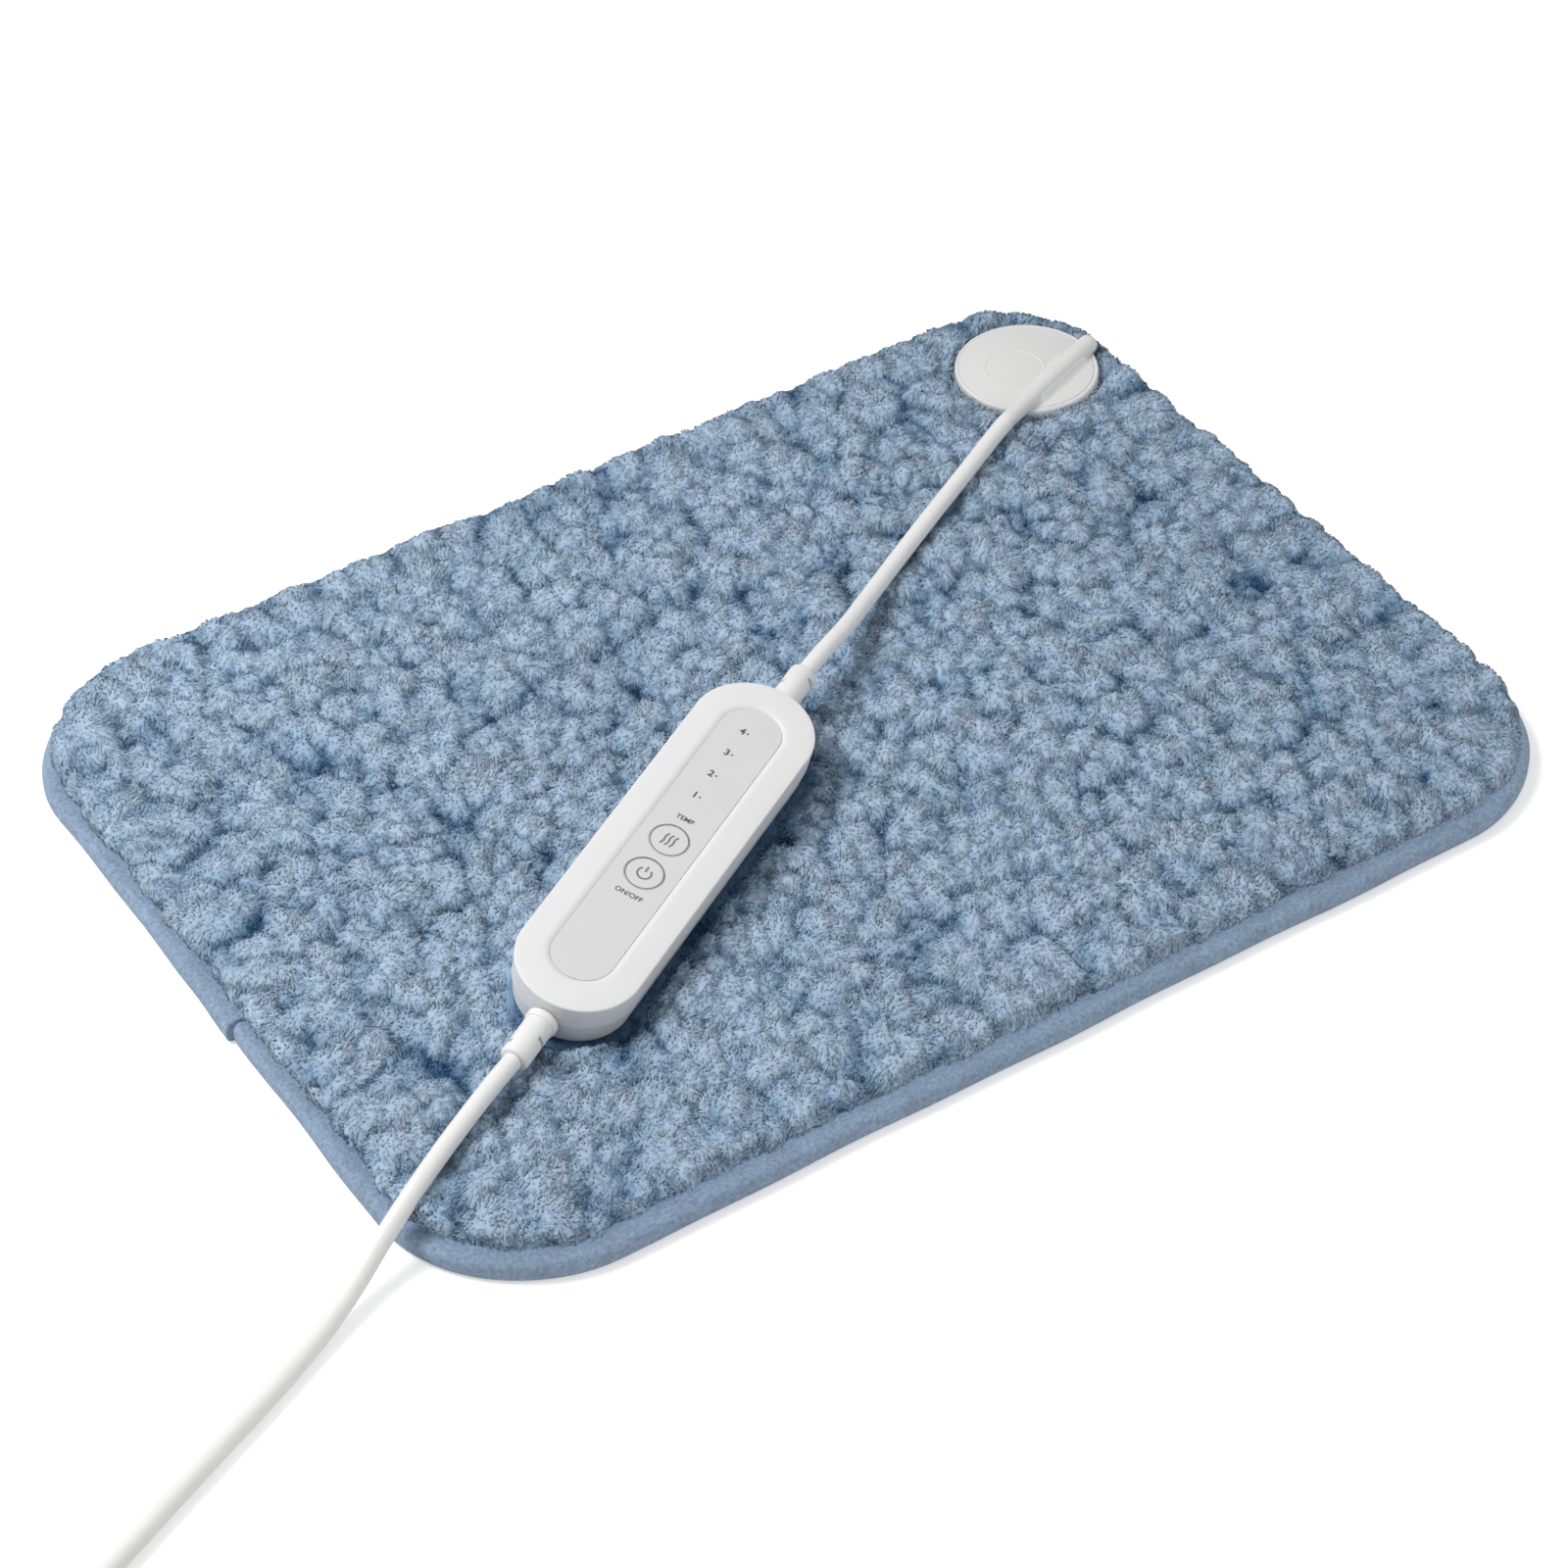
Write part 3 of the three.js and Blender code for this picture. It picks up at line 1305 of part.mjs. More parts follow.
shellScrewPlaces.forEach(([x, y], order) => {
  place(controllerFrame, `shell_screw_${order + 1}`, finishes.steel,
    screw(x, y, shellScrewSink, shellScrewHead, shellScrewReach));
});

place(heatingPad, 'pad_cord', finishes.cord, freeCord(padCordPoints));
place(heatingPad, 'mains_cord', finishes.cord, freeCord(mainsCordPoints));
place(heatingPad, 'mains_cord_coil', finishes.cord,
  tube(new PointRoute(coilRoute), coilRoute.length - 1, cordDiameter, coilSides));
place(heatingPad, 'mains_cord_tail', finishes.cord, freeCord(tailPoints));
place(heatingPad, 'coil_tie', finishes.white, coilTie());
place(plugFrame, 'plug_body', finishes.white, plugBody());
[-1, 1].forEach((side, order) => {
  place(plugFrame, `plug_pin_${order + 1}`, finishes.steel, plugPin(side));
});

export default heatingPad;
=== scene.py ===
"""Heating pad with a wired hand controller, dressed and lit for its portrait.

Sizes are in millimetres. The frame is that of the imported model: the origin lies on the
resting surface under the middle of the pad, +X runs along its long side and +Z is up.
"""

import json
import logging
import math
from collections.abc import Iterable, Sequence
from dataclasses import dataclass
from enum import Enum
from functools import cache, cached_property

import bmesh
import bpy
import numpy as np
from mathutils import Matrix, Vector

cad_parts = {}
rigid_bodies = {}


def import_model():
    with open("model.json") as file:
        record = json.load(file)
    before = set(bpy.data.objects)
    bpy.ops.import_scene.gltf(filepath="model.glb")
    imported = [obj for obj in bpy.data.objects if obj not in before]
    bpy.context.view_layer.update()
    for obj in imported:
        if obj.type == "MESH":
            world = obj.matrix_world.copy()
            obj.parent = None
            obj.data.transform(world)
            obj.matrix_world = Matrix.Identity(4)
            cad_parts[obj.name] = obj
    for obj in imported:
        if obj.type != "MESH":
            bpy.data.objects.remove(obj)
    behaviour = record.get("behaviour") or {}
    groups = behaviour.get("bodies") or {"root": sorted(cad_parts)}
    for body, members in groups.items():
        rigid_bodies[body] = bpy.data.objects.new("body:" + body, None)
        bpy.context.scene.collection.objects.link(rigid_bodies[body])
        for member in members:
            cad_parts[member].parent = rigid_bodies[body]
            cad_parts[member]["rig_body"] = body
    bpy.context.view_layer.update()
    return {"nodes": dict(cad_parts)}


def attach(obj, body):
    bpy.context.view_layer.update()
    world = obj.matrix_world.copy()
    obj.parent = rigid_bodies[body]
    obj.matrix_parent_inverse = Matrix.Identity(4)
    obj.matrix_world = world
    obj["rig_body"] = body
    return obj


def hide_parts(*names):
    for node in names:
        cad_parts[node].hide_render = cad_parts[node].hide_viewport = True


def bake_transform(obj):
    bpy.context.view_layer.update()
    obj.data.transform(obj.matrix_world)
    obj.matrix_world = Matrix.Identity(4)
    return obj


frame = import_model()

log = logging.getLogger("heating_pad")

MM = 0.001
FULL_TURN = 2 * math.pi
QUARTER_TURN = math.pi / 2
LEAD_ROOM = 3.2
SLEEVE_ROOM = 3.7
RELIEF_ROOM = 5.2

Pair = tuple[float, float]
Point = tuple[float, float, float]
Colour = tuple[float, float, float]
Socket = bpy.types.NodeSocket
Feed = Socket | float | Sequence[float]
Array = np.ndarray
Object = bpy.types.Object


class Body(Enum):
    """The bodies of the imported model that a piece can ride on."""

    PAD = "pad"
    CONNECTOR = "connector"
    POWER_KEY = "power_key"
    TEMPERATURE_KEY = "temperature_key"


# Finishes


class Surface:
    """The node tree of one material, with a principled shader at its end."""

    def __init__(self, name: str) -> None:
        """Starts the material.

        Args:
            name: what the material is called.
        """
        self.material = bpy.data.materials.new(name)
        self.material.use_nodes = True
        self.tree = self.material.node_tree
        self.shader = self.tree.nodes["Principled BSDF"]
        self.place = self.node("TexCoord").outputs["Object"]

    def node(self, kind: str, settings: dict | None = None, **inputs: Feed) -> bpy.types.Node:
        """Adds a node.

        Args:
            kind: Blender's name of the node's type, without its prefix.
            settings: values of the node's own properties.
            inputs: a value or a socket for each input, with _ for a space in its name.

        Returns:
            The new node.
        """
        made = self.tree.nodes.new(f"ShaderNode{kind}")
        for key, value in (settings or {}).items():
            setattr(made, key, value)
        for name, value in inputs.items():
            self.feed(made.inputs[name.replace("_", " ")], value)
        return made

    def feed(self, socket: Socket, value: Feed) -> None:
        """Gives a socket a constant or the output of another node.

        Args:
            socket: the input to set.
            value: a plain value or an output socket.
        """
        if isinstance(value, Socket):
            self.tree.links.new(value, socket)
        else:
            socket.default_value = value

    def noise(
        self, per_mm: float, detail: float = 3, stretch: Point = (1, 1, 1), rough: float = 0.5
    ) -> Socket:
        """Cloudy variation from 0 to 1.

        Args:
            per_mm: patches to the millimetre.
            detail: how many finer layers lie over them.
            stretch: how often more it varies along each axis.
            rough: how strong the finer layers are.

        Returns:
            The variation at each place.
        """
        placed = self.node("Mapping", Vector=self.place, Scale=stretch).outputs["Vector"]
        inputs = {"Vector": placed, "Scale": per_mm / MM, "Detail": detail, "Roughness": rough}
        return self.node("TexNoise", **inputs).outputs["Fac"]

    def cells(self, per_mm: float) -> Socket:
        """Distance to the nearest of many scattered points, so many to the millimetre."""
        return self.node("TexVoronoi", Vector=self.place, Scale=per_mm / MM).outputs["Distance"]

    def ramp(self, value: Socket, stops: Sequence[tuple[float, Colour]]) -> Socket:
        """Turns a value into a colour.

        Args:
            value: the value to read.
            stops: places on the ramp with their colours.

        Returns:
            The colour.
        """
        made = self.node("ValToRGB", Fac=value)
        marks = made.color_ramp.elements
        while len(marks) < len(stops):
            marks.new(1)
        for mark, (place, colour) in zip(marks, stops):
            mark.position = place
            mark.color = (*colour, 1)
        return made.outputs["Color"]

    def spread(self, value: Socket, low: float, high: float, span: Pair = (0.3, 0.7)) -> Socket:
        """Turns the span of a value's range that is used into a range from low to high."""
        inputs = {"From_Min": span[0], "From_Max": span[1], "To_Min": low, "To_Max": high}
        return self.node("MapRange", Value=value, **inputs).outputs["Result"]

    def bump(self, height: Socket, depth: float) -> None:
        """Raises the surface by a height from 0 to 1, where 1 is the depth in millimetres."""
        raised = self.node("Bump", Height=height, Distance=depth * MM, Strength=1)
        self.feed(self.shader.inputs["Normal"], raised.outputs["Normal"])

    def brighten(self, colour: Socket, share: Socket) -> Socket:
        """A colour made lighter or darker by a share."""
        return self.node("HueSaturation", Color=colour, Value=share).outputs["Color"]

    def stored(self, name: str, output: str = "Fac") -> Socket:
        """A value that the mesh carries at its corners."""
        return self.node("Attribute", {"attribute_name": name}).outputs[output]

    def set(self, **inputs: Feed) -> None:
        """Sets inputs of the shader, with _ for a space in a name."""
        for name, value in inputs.items():
            self.feed(self.shader.inputs[name.replace("_", " ")], value)


def shade(colour: Colour, share: float) -> Colour:
    """A colour made darker or lighter by a share."""
    return tuple(min(channel * share, 1) for channel in colour)


@dataclass(frozen=True)
class Moulded:
    """Moulded plastic or rubber with a fine grain and slight clouding."""

    name: str
    colour: Colour
    roughness: float = 0.5
    grain: float = 3.0
    depth: float = 0.02
    clouding: float = 0.04

    def paint(self) -> bpy.types.Material:
        """Makes the material.

        Returns:
            The material.
        """
        surface = Surface(self.name)
        cloud = surface.noise(0.06, 4)
        colour = surface.ramp(cloud, [(0.3, shade(self.colour, 1 - self.clouding)), (0.7, self.colour)])
        grain = surface.noise(self.grain, 2)
        surface.set(
            Base_Color=colour,
            Roughness=surface.spread(grain, self.roughness - 0.06, self.roughness + 0.06),
        )
        surface.bump(grain, self.depth)
        return surface.material


@dataclass(frozen=True)
class Napped:
    """Woven or knitted cloth with a short nap."""

    name: str
    colour: Colour
    fleck: float = 0.16
    depth: float = 0.35
    per_mm: float = 1.4
    sheen: float = 0.3

    def paint(self) -> bpy.types.Material:
        """Makes the material.

        Returns:
            The material.
        """
        surface = Surface(self.name)
        nap = surface.noise(self.per_mm, 5, rough=0.65)
        patch = surface.noise(0.12, 3)
        flecks = surface.ramp(
            nap,
            [
                (0.3, shade(self.colour, 1 - self.fleck)), (0.5, self.colour),
                (0.7, shade(self.colour, 1 + self.fleck)),
            ],
        )
        surface.set(
            Base_Color=surface.brighten(flecks, surface.spread(patch, 0.92, 1.08)), Roughness=0.9,
            Sheen_Weight=self.sheen, Sheen_Roughness=0.6,
        )
        surface.bump(nap, self.depth)
        return surface.material


@dataclass(frozen=True)
class Fibre:
    """Fibres of the pile with painted shade, darker at the root and in clefts, and a tint of their own."""

    name: str
    root: Colour
    middle: Colour
    tip: Colour
    tint_span: Pair = (0.87, 1.13)

    def paint(self) -> bpy.types.Material:
        """Makes the material.

        Returns:
            The material.
        """
        surface = Surface(self.name)
        # Painted shade: the stored value is low in clefts and at the roots, where the ramp gives the dark
        # root colour.
        along, tint = surface.stored(Pile.ALONG), surface.stored(Pile.TINT)
        colour = surface.ramp(along, [(0.1, self.root), (0.55, self.middle), (0.95, self.tip)])
        patched = surface.brighten(colour, surface.spread(surface.noise(0.03, 2), 0.95, 1.05))
        surface.set(
            Base_Color=surface.brighten(patched, surface.spread(tint, *self.tint_span, span=(0, 1))),
            Roughness=0.85, Specular_IOR_Level=0.03, Sheen_Weight=0.02, Sheen_Roughness=0.5,
            Normal=surface.stored(Pile.FACING, "Vector"),
        )
        return surface.material


@dataclass(frozen=True)
class Metal:
    """Drawn or pressed metal with fine lines."""

    name: str
    colour: Colour
    roughness: float = 0.3

    def paint(self) -> bpy.types.Material:
        """Makes the material.

        Returns:
            The material.
        """
        surface = Surface(self.name)
        lines = surface.noise(2, 3, stretch=(1, 1, 8))
        colour = surface.ramp(lines, [(0.3, shade(self.colour, 0.88)), (0.7, self.colour)])
        surface.set(
            Base_Color=colour, Metallic=1.0,
            Roughness=surface.spread(lines, self.roughness - 0.08, self.roughness + 0.1),
        )
        surface.bump(lines, 0.01)
        return surface.material


@dataclass(frozen=True)
class Glassy:
    """Clear glass or plastic with faint ripples."""

    name: str
    colour: Colour
    roughness: float = 0.08

    def paint(self) -> bpy.types.Material:
        """Makes the material.

        Returns:
            The material.
        """
        surface = Surface(self.name)
        ripple = surface.noise(0.5, 2)
        surface.set(
            Base_Color=surface.ramp(ripple, [(0.3, shade(self.colour, 0.94)), (0.7, self.colour)]),
            Roughness=surface.spread(ripple, self.roughness, self.roughness * 2), Transmission_Weight=0.75,
            IOR=1.49,
        )
        surface.bump(ripple, 0.02)
        return surface.material


@dataclass(frozen=True)
class Laminate:
    """Circuit board with tracks under its lacquer."""

    name: str
    colour: Colour

    def paint(self) -> bpy.types.Material:
        """Makes the material.

        Returns:
            The material.
        """
        surface = Surface(self.name)
        tracks = surface.cells(0.22)
        surface.set(
            Base_Color=surface.ramp(
                tracks,
                [(0.25, shade(self.colour, 0.7)), (0.35, self.colour), (0.6, shade(self.colour, 1.4))],
            ),
            Roughness=0.4,
        )
        surface.bump(tracks, 0.05)
        return surface.material


class Slot(Enum):
    """The finishes that the record names."""

    # The dark root colour is painted shade for the clefts and the roots of the fibres.
    PLUSH = Fibre("plush", (0.055, 0.135, 0.27), (0.28, 0.41, 0.565), (0.395, 0.51, 0.645))
    TAPE = Napped("edge_tape", (0.255, 0.35, 0.48), fleck=0.3, depth=0.8, per_mm=0.8, sheen=0.1)
    BACKING = Napped("backing", (0.24, 0.35, 0.52), per_mm=0.9)
    WADDING = Napped("wadding", (0.8, 0.79, 0.75), fleck=0.05, per_mm=0.8)
    CARRIER = Napped("carrier", (0.68, 0.71, 0.74), fleck=0.08, depth=0.08, per_mm=1.8)
    HEATER = Moulded("heater_jacket", (0.68, 0.38, 0.26), 0.6)
    SENSOR = Glassy("sensor_glass", (0.86, 0.66, 0.5))
    DARK = Moulded("dark_plastic", (0.024, 0.025, 0.027), clouding=0.2)
    HOUSING = Moulded("white_housing", (0.77, 0.77, 0.77), clouding=0.015)
    JACKET = Moulded("white_jacket", (0.8, 0.8, 0.79), grain=1.6, clouding=0.03)
    PANEL = Moulded("panel_film", (0.67, 0.67, 0.675), grain=4.5, clouding=0.012)
    BOARD = Laminate("board", (0.03, 0.15, 0.07))
    LAMP = Glassy("lamp_chip", (0.9, 0.87, 0.75), 0.3)
    GUIDE = Glassy("clear_guide", (0.8, 0.81, 0.82), 0.4)
    FUSE = Glassy("fuse_glass", (0.75, 0.82, 0.84))
    CAPACITOR = Moulded("capacitor_box", (0.7, 0.55, 0.12))
    BRASS = Metal("contact_brass", (0.62, 0.42, 0.12))
    STEEL = Metal("screw_steel", (0.52, 0.53, 0.54))


Finish = Moulded | Napped | Fibre | Metal | Glassy | Laminate


@cache
def painted(finish: Finish) -> bpy.types.Material:
    """The material of a finish, painted at its first use."""
    return finish.paint()


# Shapes


@dataclass(frozen=True)
class Station:
    """A place on an outline: the point of a corner's centre or of a side, and the way out."""

    x: float
    y: float
    out_x: float
    out_y: float

    def at(self, reach: float, height: float) -> Point:
        """The point a reach away along the way out, at a height."""
        return (self.x + self.out_x * reach, self.y + self.out_y * reach, height)


@dataclass(frozen=True)
class Outline:
    """A rectangle with round corners, centred on the origin."""

    length: float
    width: float
    radius: float

    def stations(self, arc_steps: int, step: float = 1000) -> list[Station]:
        """Places all round, against the clock, from the right-hand side.

        Args:
            arc_steps: steps in each round corner.
            step: longest step on a straight side.

        Returns:
            The stations in order.
        """
        half = (self.length / 2 - self.radius, self.width / 2 - self.radius)
        corners = [(1, 1), (-1, 1), (-1, -1), (1, -1)]
        found = []
        for order, (sign_x, sign_y) in enumerate(corners):
            x, y = sign_x * half[0], sign_y * half[1]
            for place in range(arc_steps + 1):
                angle = QUARTER_TURN * (order + place / arc_steps)
                found.append(Station(x, y, math.cos(angle), math.sin(angle)))
            next_x, next_y = corners[(order + 1) % 4]
            run_x, run_y = next_x * half[0] - x, next_y * half[1] - y
            steps = max(math.ceil(math.hypot(run_x, run_y) / step), 1)
            out = (found[-1].out_x, found[-1].out_y)
            for share in (place / steps for place in range(1, steps)):
                found.append(Station(x + run_x * share, y + run_y * share, *out))
        return [
            station
            for last, station in zip([found[-1], *found], found)
            if math.dist(last.at(1, 0), station.at(1, 0)) > 1e-6
        ]

    def ring(self, stations: Sequence[Station], inset: float, height: float) -> list[Point]:
        """A ring through stations at an inset from the outline and at a height."""
        return [station.at(self.radius - inset, height) for station in stations]


def arc(centre: Pair, radius: float, start: float, end: float, steps: int) -> list[Pair]:
    """Points in order on an arc, in steps from the start's angle to the end's, in degrees."""
    angles = [math.radians(start + (end - start) * place / steps) for place in range(steps + 1)]
    return [(centre[0] + radius * math.cos(a), centre[1] + radius * math.sin(a)) for a in angles]


def smooth_step(value: Array | float) -> Array | float:
    """Rises gently from 0 to 1 as the value does."""
    held = np.clip(value, 0, 1)
    return held * held * (3 - 2 * held)


def lengths(rows: Array) -> Array:
    """The length of the vector in each row, as a column that can be divided by."""
    return np.maximum(np.linalg.norm(rows, axis=-1, keepdims=True), 1e-6)


def shift(x: float = 0, y: float = 0, z: float = 0) -> Matrix:
    """A move along the axes."""
    return Matrix.Translation((x, y, z))


def spin(degrees: float, axis: str = "Z") -> Matrix:
    """A turn about an axis, in degrees."""
    return Matrix.Rotation(math.radians(degrees), 4, axis)


def link(name: str, data: bpy.types.ID) -> Object:
    """Puts an object in the scene.

    Args:
        name: what it is called.
        data: its mesh, curve, camera or lamp.

    Returns:
        The object.
    """
    made = bpy.data.objects.new(name, data)
    bpy.context.scene.collection.objects.link(made)
    return made


def rounded_route(points: Sequence[Point], step: float) -> list[Vector]:
    """A smooth route through points, with places at an even distance.

    Args:
        points: points that the route goes through.
        step: about how far apart the places are.

    Returns:
        The places in order, with both ends kept.
    """
    given = [Vector(point) for point in points]
    ends = [given[0] * 2 - given[1], *given, given[-1] * 2 - given[-2]]
    dense = []
    for a, b, c, d in zip(ends, ends[1:], ends[2:], ends[3:]):
        knots = [0.0]
        for near, far in ((a, b), (b, c), (c, d)):
            knots.append(knots[-1] + math.sqrt((far - near).length))
        t0, t1, t2, t3 = knots
        parts = max(math.ceil((c - b).length / step * 4), 2)
        for place in range(parts):
            t = t1 + (t2 - t1) * place / parts
            a1 = a * ((t1 - t) / (t1 - t0)) + b * ((t - t0) / (t1 - t0))
            a2 = b * ((t2 - t) / (t2 - t1)) + c * ((t - t1) / (t2 - t1))
            a3 = c * ((t3 - t) / (t3 - t2)) + d * ((t - t2) / (t3 - t2))
            b1 = a1 * ((t2 - t) / (t2 - t0)) + a2 * ((t - t0) / (t2 - t0))
            b2 = a2 * ((t3 - t) / (t3 - t1)) + a3 * ((t - t1) / (t3 - t1))
            dense.append(b1 * ((t2 - t) / (t2 - t1)) + b2 * ((t - t1) / (t2 - t1)))
    dense.append(given[-1])
    line = np.array([place[:] for place in dense])
    reach = np.concatenate([[0.0], np.cumsum(np.linalg.norm(np.diff(line, axis=0), axis=1))])
    goals = np.linspace(0, reach[-1], max(round(reach[-1] / step), 1) + 1)
    return [Vector(place) for place in zip(*(np.interp(goals, reach, axis) for axis in line.T))]


def length_of(route: Sequence[Vector]) -> float:
    """The length along a route."""
    return sum((far - near).length for near, far in zip(route, route[1:]))


class Piece:
    """A closed mesh in the making, in millimetres in the frame of its assembly."""

    def __init__(self, name: str, place: Matrix = Matrix.Identity(4)) -> None:
        """Starts the piece.

        Args:
            name: what the piece is called.
            place: the frame of its assembly on the pad.
        """
        self.name = name
        self.place = place
        self.mesh = bmesh.new()

    def _move(self, verts: Iterable[bmesh.types.BMVert], points: Iterable[Point]) -> None:
        """Moves each vertex to its point."""
        for vert, point in zip(verts, points):
            vert.co = point

    def skin(self, rings: Sequence[Sequence[Point]], closed: bool = False) -> "Piece":
        """Stretches a surface from ring to ring.

        Args:
            rings: rings of equal count, in order.
            closed: whether the last ring joins the first, or each end has a cap.

        Returns:
            The piece itself.
        """
        made = bmesh.ops.create_circle(self.mesh, segments=len(rings[0]), radius=1)
        first = made["verts"]
        self._move(first, rings[0])
        last = first
        for ring in rings[1:]:
            grown = bmesh.ops.extrude_edge_only(self.mesh, edges=self._loop(last))
            new = {item for item in grown["geom"] if isinstance(item, bmesh.types.BMVert)}
            last = [
                next(edge.other_vert(vert) for edge in vert.link_edges if edge.other_vert(vert) in new)
                for vert in last
            ]
            self._move(last, ring)
        if closed:
            bmesh.ops.bridge_loops(self.mesh, edges=self._loop(first) + self._loop(last))
        else:
            bmesh.ops.contextual_create(self.mesh, geom=self._loop(first))
            bmesh.ops.contextual_create(self.mesh, geom=self._loop(last))
        return self

    def _loop(self, verts: Sequence[bmesh.types.BMVert]) -> list[bmesh.types.BMEdge]:
        """The edges from vertex to vertex, all round."""
        return [self.mesh.edges.get(pair) for pair in zip(verts, [*verts[1:], verts[0]])]

    def turn(
        self, profile: Sequence[Pair], segments: int = 64, place: Matrix = Matrix.Identity(4)
    ) -> "Piece":
        """Adds a solid of revolution about the vertical.

        Args:
            profile: radius and height of each point, from pole to pole or closed on itself.
            segments: facets round it.
            place: where its axis goes.

        Returns:
            The piece itself.
        """
        before = set(self.mesh.verts)
        corners = [self.mesh.verts.new((radius, 0, height)) for radius, height in profile]
        lines = [self.mesh.edges.new(pair) for pair in zip(corners, corners[1:])]
        bmesh.ops.spin(
            self.mesh, geom=corners + lines, cent=(0, 0, 0), axis=(0, 0, 1), angle=FULL_TURN,
            steps=segments, use_merge=True,
        )
        new = [vert for vert in self.mesh.verts if vert not in before]
        bmesh.ops.remove_doubles(self.mesh, verts=new, dist=1e-4)
        new = [vert for vert in self.mesh.verts if vert not in before]
        bmesh.ops.transform(self.mesh, matrix=place, verts=new)
        return self

    def block(self, size: Point, centre: Point, edge: float = 0.0) -> "Piece":
        """Adds a block.

        Args:
            size: its three sizes.
            centre: its middle.
            edge: radius of its edges.

        Returns:
            The piece itself.
        """
        made = bmesh.ops.create_cube(
            self.mesh, size=1, matrix=Matrix.Translation(centre) @ Matrix.Diagonal((*size, 1))
        )
        if edge:
            bmesh.ops.bevel(
                self.mesh, geom=list({line for vert in made["verts"] for line in vert.link_edges}),
                offset=edge, affect="EDGES", segments=3, profile=0.5, material=-1,
            )
        return self

    def finish(
        self, slot: Slot, body: Body = Body.PAD, replaces: Sequence[str] = (),
        cuts: Sequence["Piece"] = (), sharp: float = 35, coat: Finish | None = None,
    ) -> Object:
        """Makes the object.

        Args:
            slot: the finish of the piece.
            body: the body that it rides on.
            replaces: the CAD nodes that it stands for.
            cuts: pieces whose room is cut out of it.
            sharp: least angle between faces that shows as an edge, in degrees.
            coat: a finish of its own, in place of the slot's.

        Returns:
            The object, in metres on the pad.
        """
        made = self._object()
        if cuts:
            self._cut(made, cuts)
        made.data.shade_smooth()
        made.data.set_sharp_from_angle(angle=math.radians(sharp))
        made.data.materials.clear()
        made.data.materials.append(painted(coat or slot.value))
        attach(made, body.value)
        if replaces:
            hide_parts(*replaces)
        log.info("%s: %d faces", made.name, len(made.data.polygons))
        return made

    def _object(self) -> Object:
        """Turns the mesh into an object, in metres on the pad.

        Returns:
            The object.
        """
        bmesh.ops.transform(self.mesh, matrix=Matrix.Scale(MM, 4) @ self.place, verts=self.mesh.verts)
        bmesh.ops.recalc_face_normals(self.mesh, faces=self.mesh.faces)
        data = bpy.data.meshes.new(self.name)
        self.mesh.to_mesh(data)
        self.mesh.free()
        return link(self.name, data)

    def _cut(self, made: Object, cuts: Sequence["Piece"]) -> None:
        """Cuts room out of an object.

        Args:
            made: the object.
            cuts: pieces that fill the room.
        """
        tools = [cut._object() for cut in cuts]
        for tool in tools:
            modifier = made.modifiers.new(tool.name, "BOOLEAN")
            modifier.operation = "DIFFERENCE"
            modifier.solver = "EXACT"
            modifier.object = tool
        whole = made.evaluated_get(bpy.context.evaluated_depsgraph_get())
        result = bpy.data.meshes.new_from_object(whole)
        made.modifiers.clear()
        bare, made.data = made.data, result
        bpy.data.meshes.remove(bare)
        for tool in tools:
            bpy.data.meshes.remove(tool.data)


# The pad


@dataclass(frozen=True)
class PadOutline:
    """The pad seen from above, and the height of its pile."""

    length: float = 400
    width: float = 290
    radius: float = 48
    wave: float = 0.45
    top: float = 15.2
    crown: float = 0.4
    crown_reach: float = 100
    far_side: Pair = (0.5525, 0.8335)
    far_rise: float = 1.2

    @property
    def outline(self) -> Outline:
        """The even outline that the waves are laid on."""
        return Outline(self.length, self.width, self.radius)

    def waved(self, point: Point) -> Point:
        """A point moved with the slight waves of the sewn edge.

        Args:
            point: a point near the edge.

        Returns:
            The moved point, level with the old one.
        """
        x, y, z = point
        sway_x = math.sin(y / 17 + 0.7) + 0.6 * math.sin(y / 7.3 + x / 300)
        sway_y = math.sin(x / 19 + 2.1) + 0.6 * math.sin(x / 8.1 + 1.3)
        pull = self.wave / 1.6
        return (x + pull * (sway_x - 1.6) * np.sign(x), y + pull * (sway_y - 1.6) * np.sign(y), z)

    def _beyond(self, x: Array, y: Array) -> Array:
        """How far points lie past the corners' centres, along and across the pad."""
        return np.abs(np.stack([x, y], 1)) - np.array([self.length, self.width]) / 2 + self.radius

    def inset(self, x: Array, y: Array) -> Array:
        """Distance inside the outline of points on the pad."""
        beyond = self._beyond(x, y)
        return self.radius - lengths(np.maximum(beyond, 0))[:, 0] - np.minimum(beyond.max(1), 0)

    def out(self, x: Array, y: Array) -> Array:
        """The way to the pad's edge from points on it.

        Args:
            x: places along the pad.
            y: places across it.

        Returns:
            A level vector of length 1 to a row.
        """
        beyond = self._beyond(x, y)
        along = beyond[:, :1] > beyond[:, 1:]
        sides = np.concatenate([along, ~along], 1).astype(float)
        way = np.where((beyond > 0).all(1)[:, None], beyond, sides)
        return way / lengths(way) * np.sign(np.stack([x, y], 1))

    def pile(self, x: Array, y: Array) -> Array:
        """The combed pile, fuller along the far sides.

        Args:
            x: places along the pad.
            y: places across it.

        Returns:
            Its height at each place.
        """
        inset = np.maximum(self.inset(x, y), 0)
        flat = self.top - self.crown * (1 - np.minimum(inset / self.crown_reach, 1)) ** 2
        far = (self.out(x, y) * self.far_side).sum(1)
        return flat + self.far_rise * smooth_step(far + 0.3) * smooth_step((24 - inset) / 18)


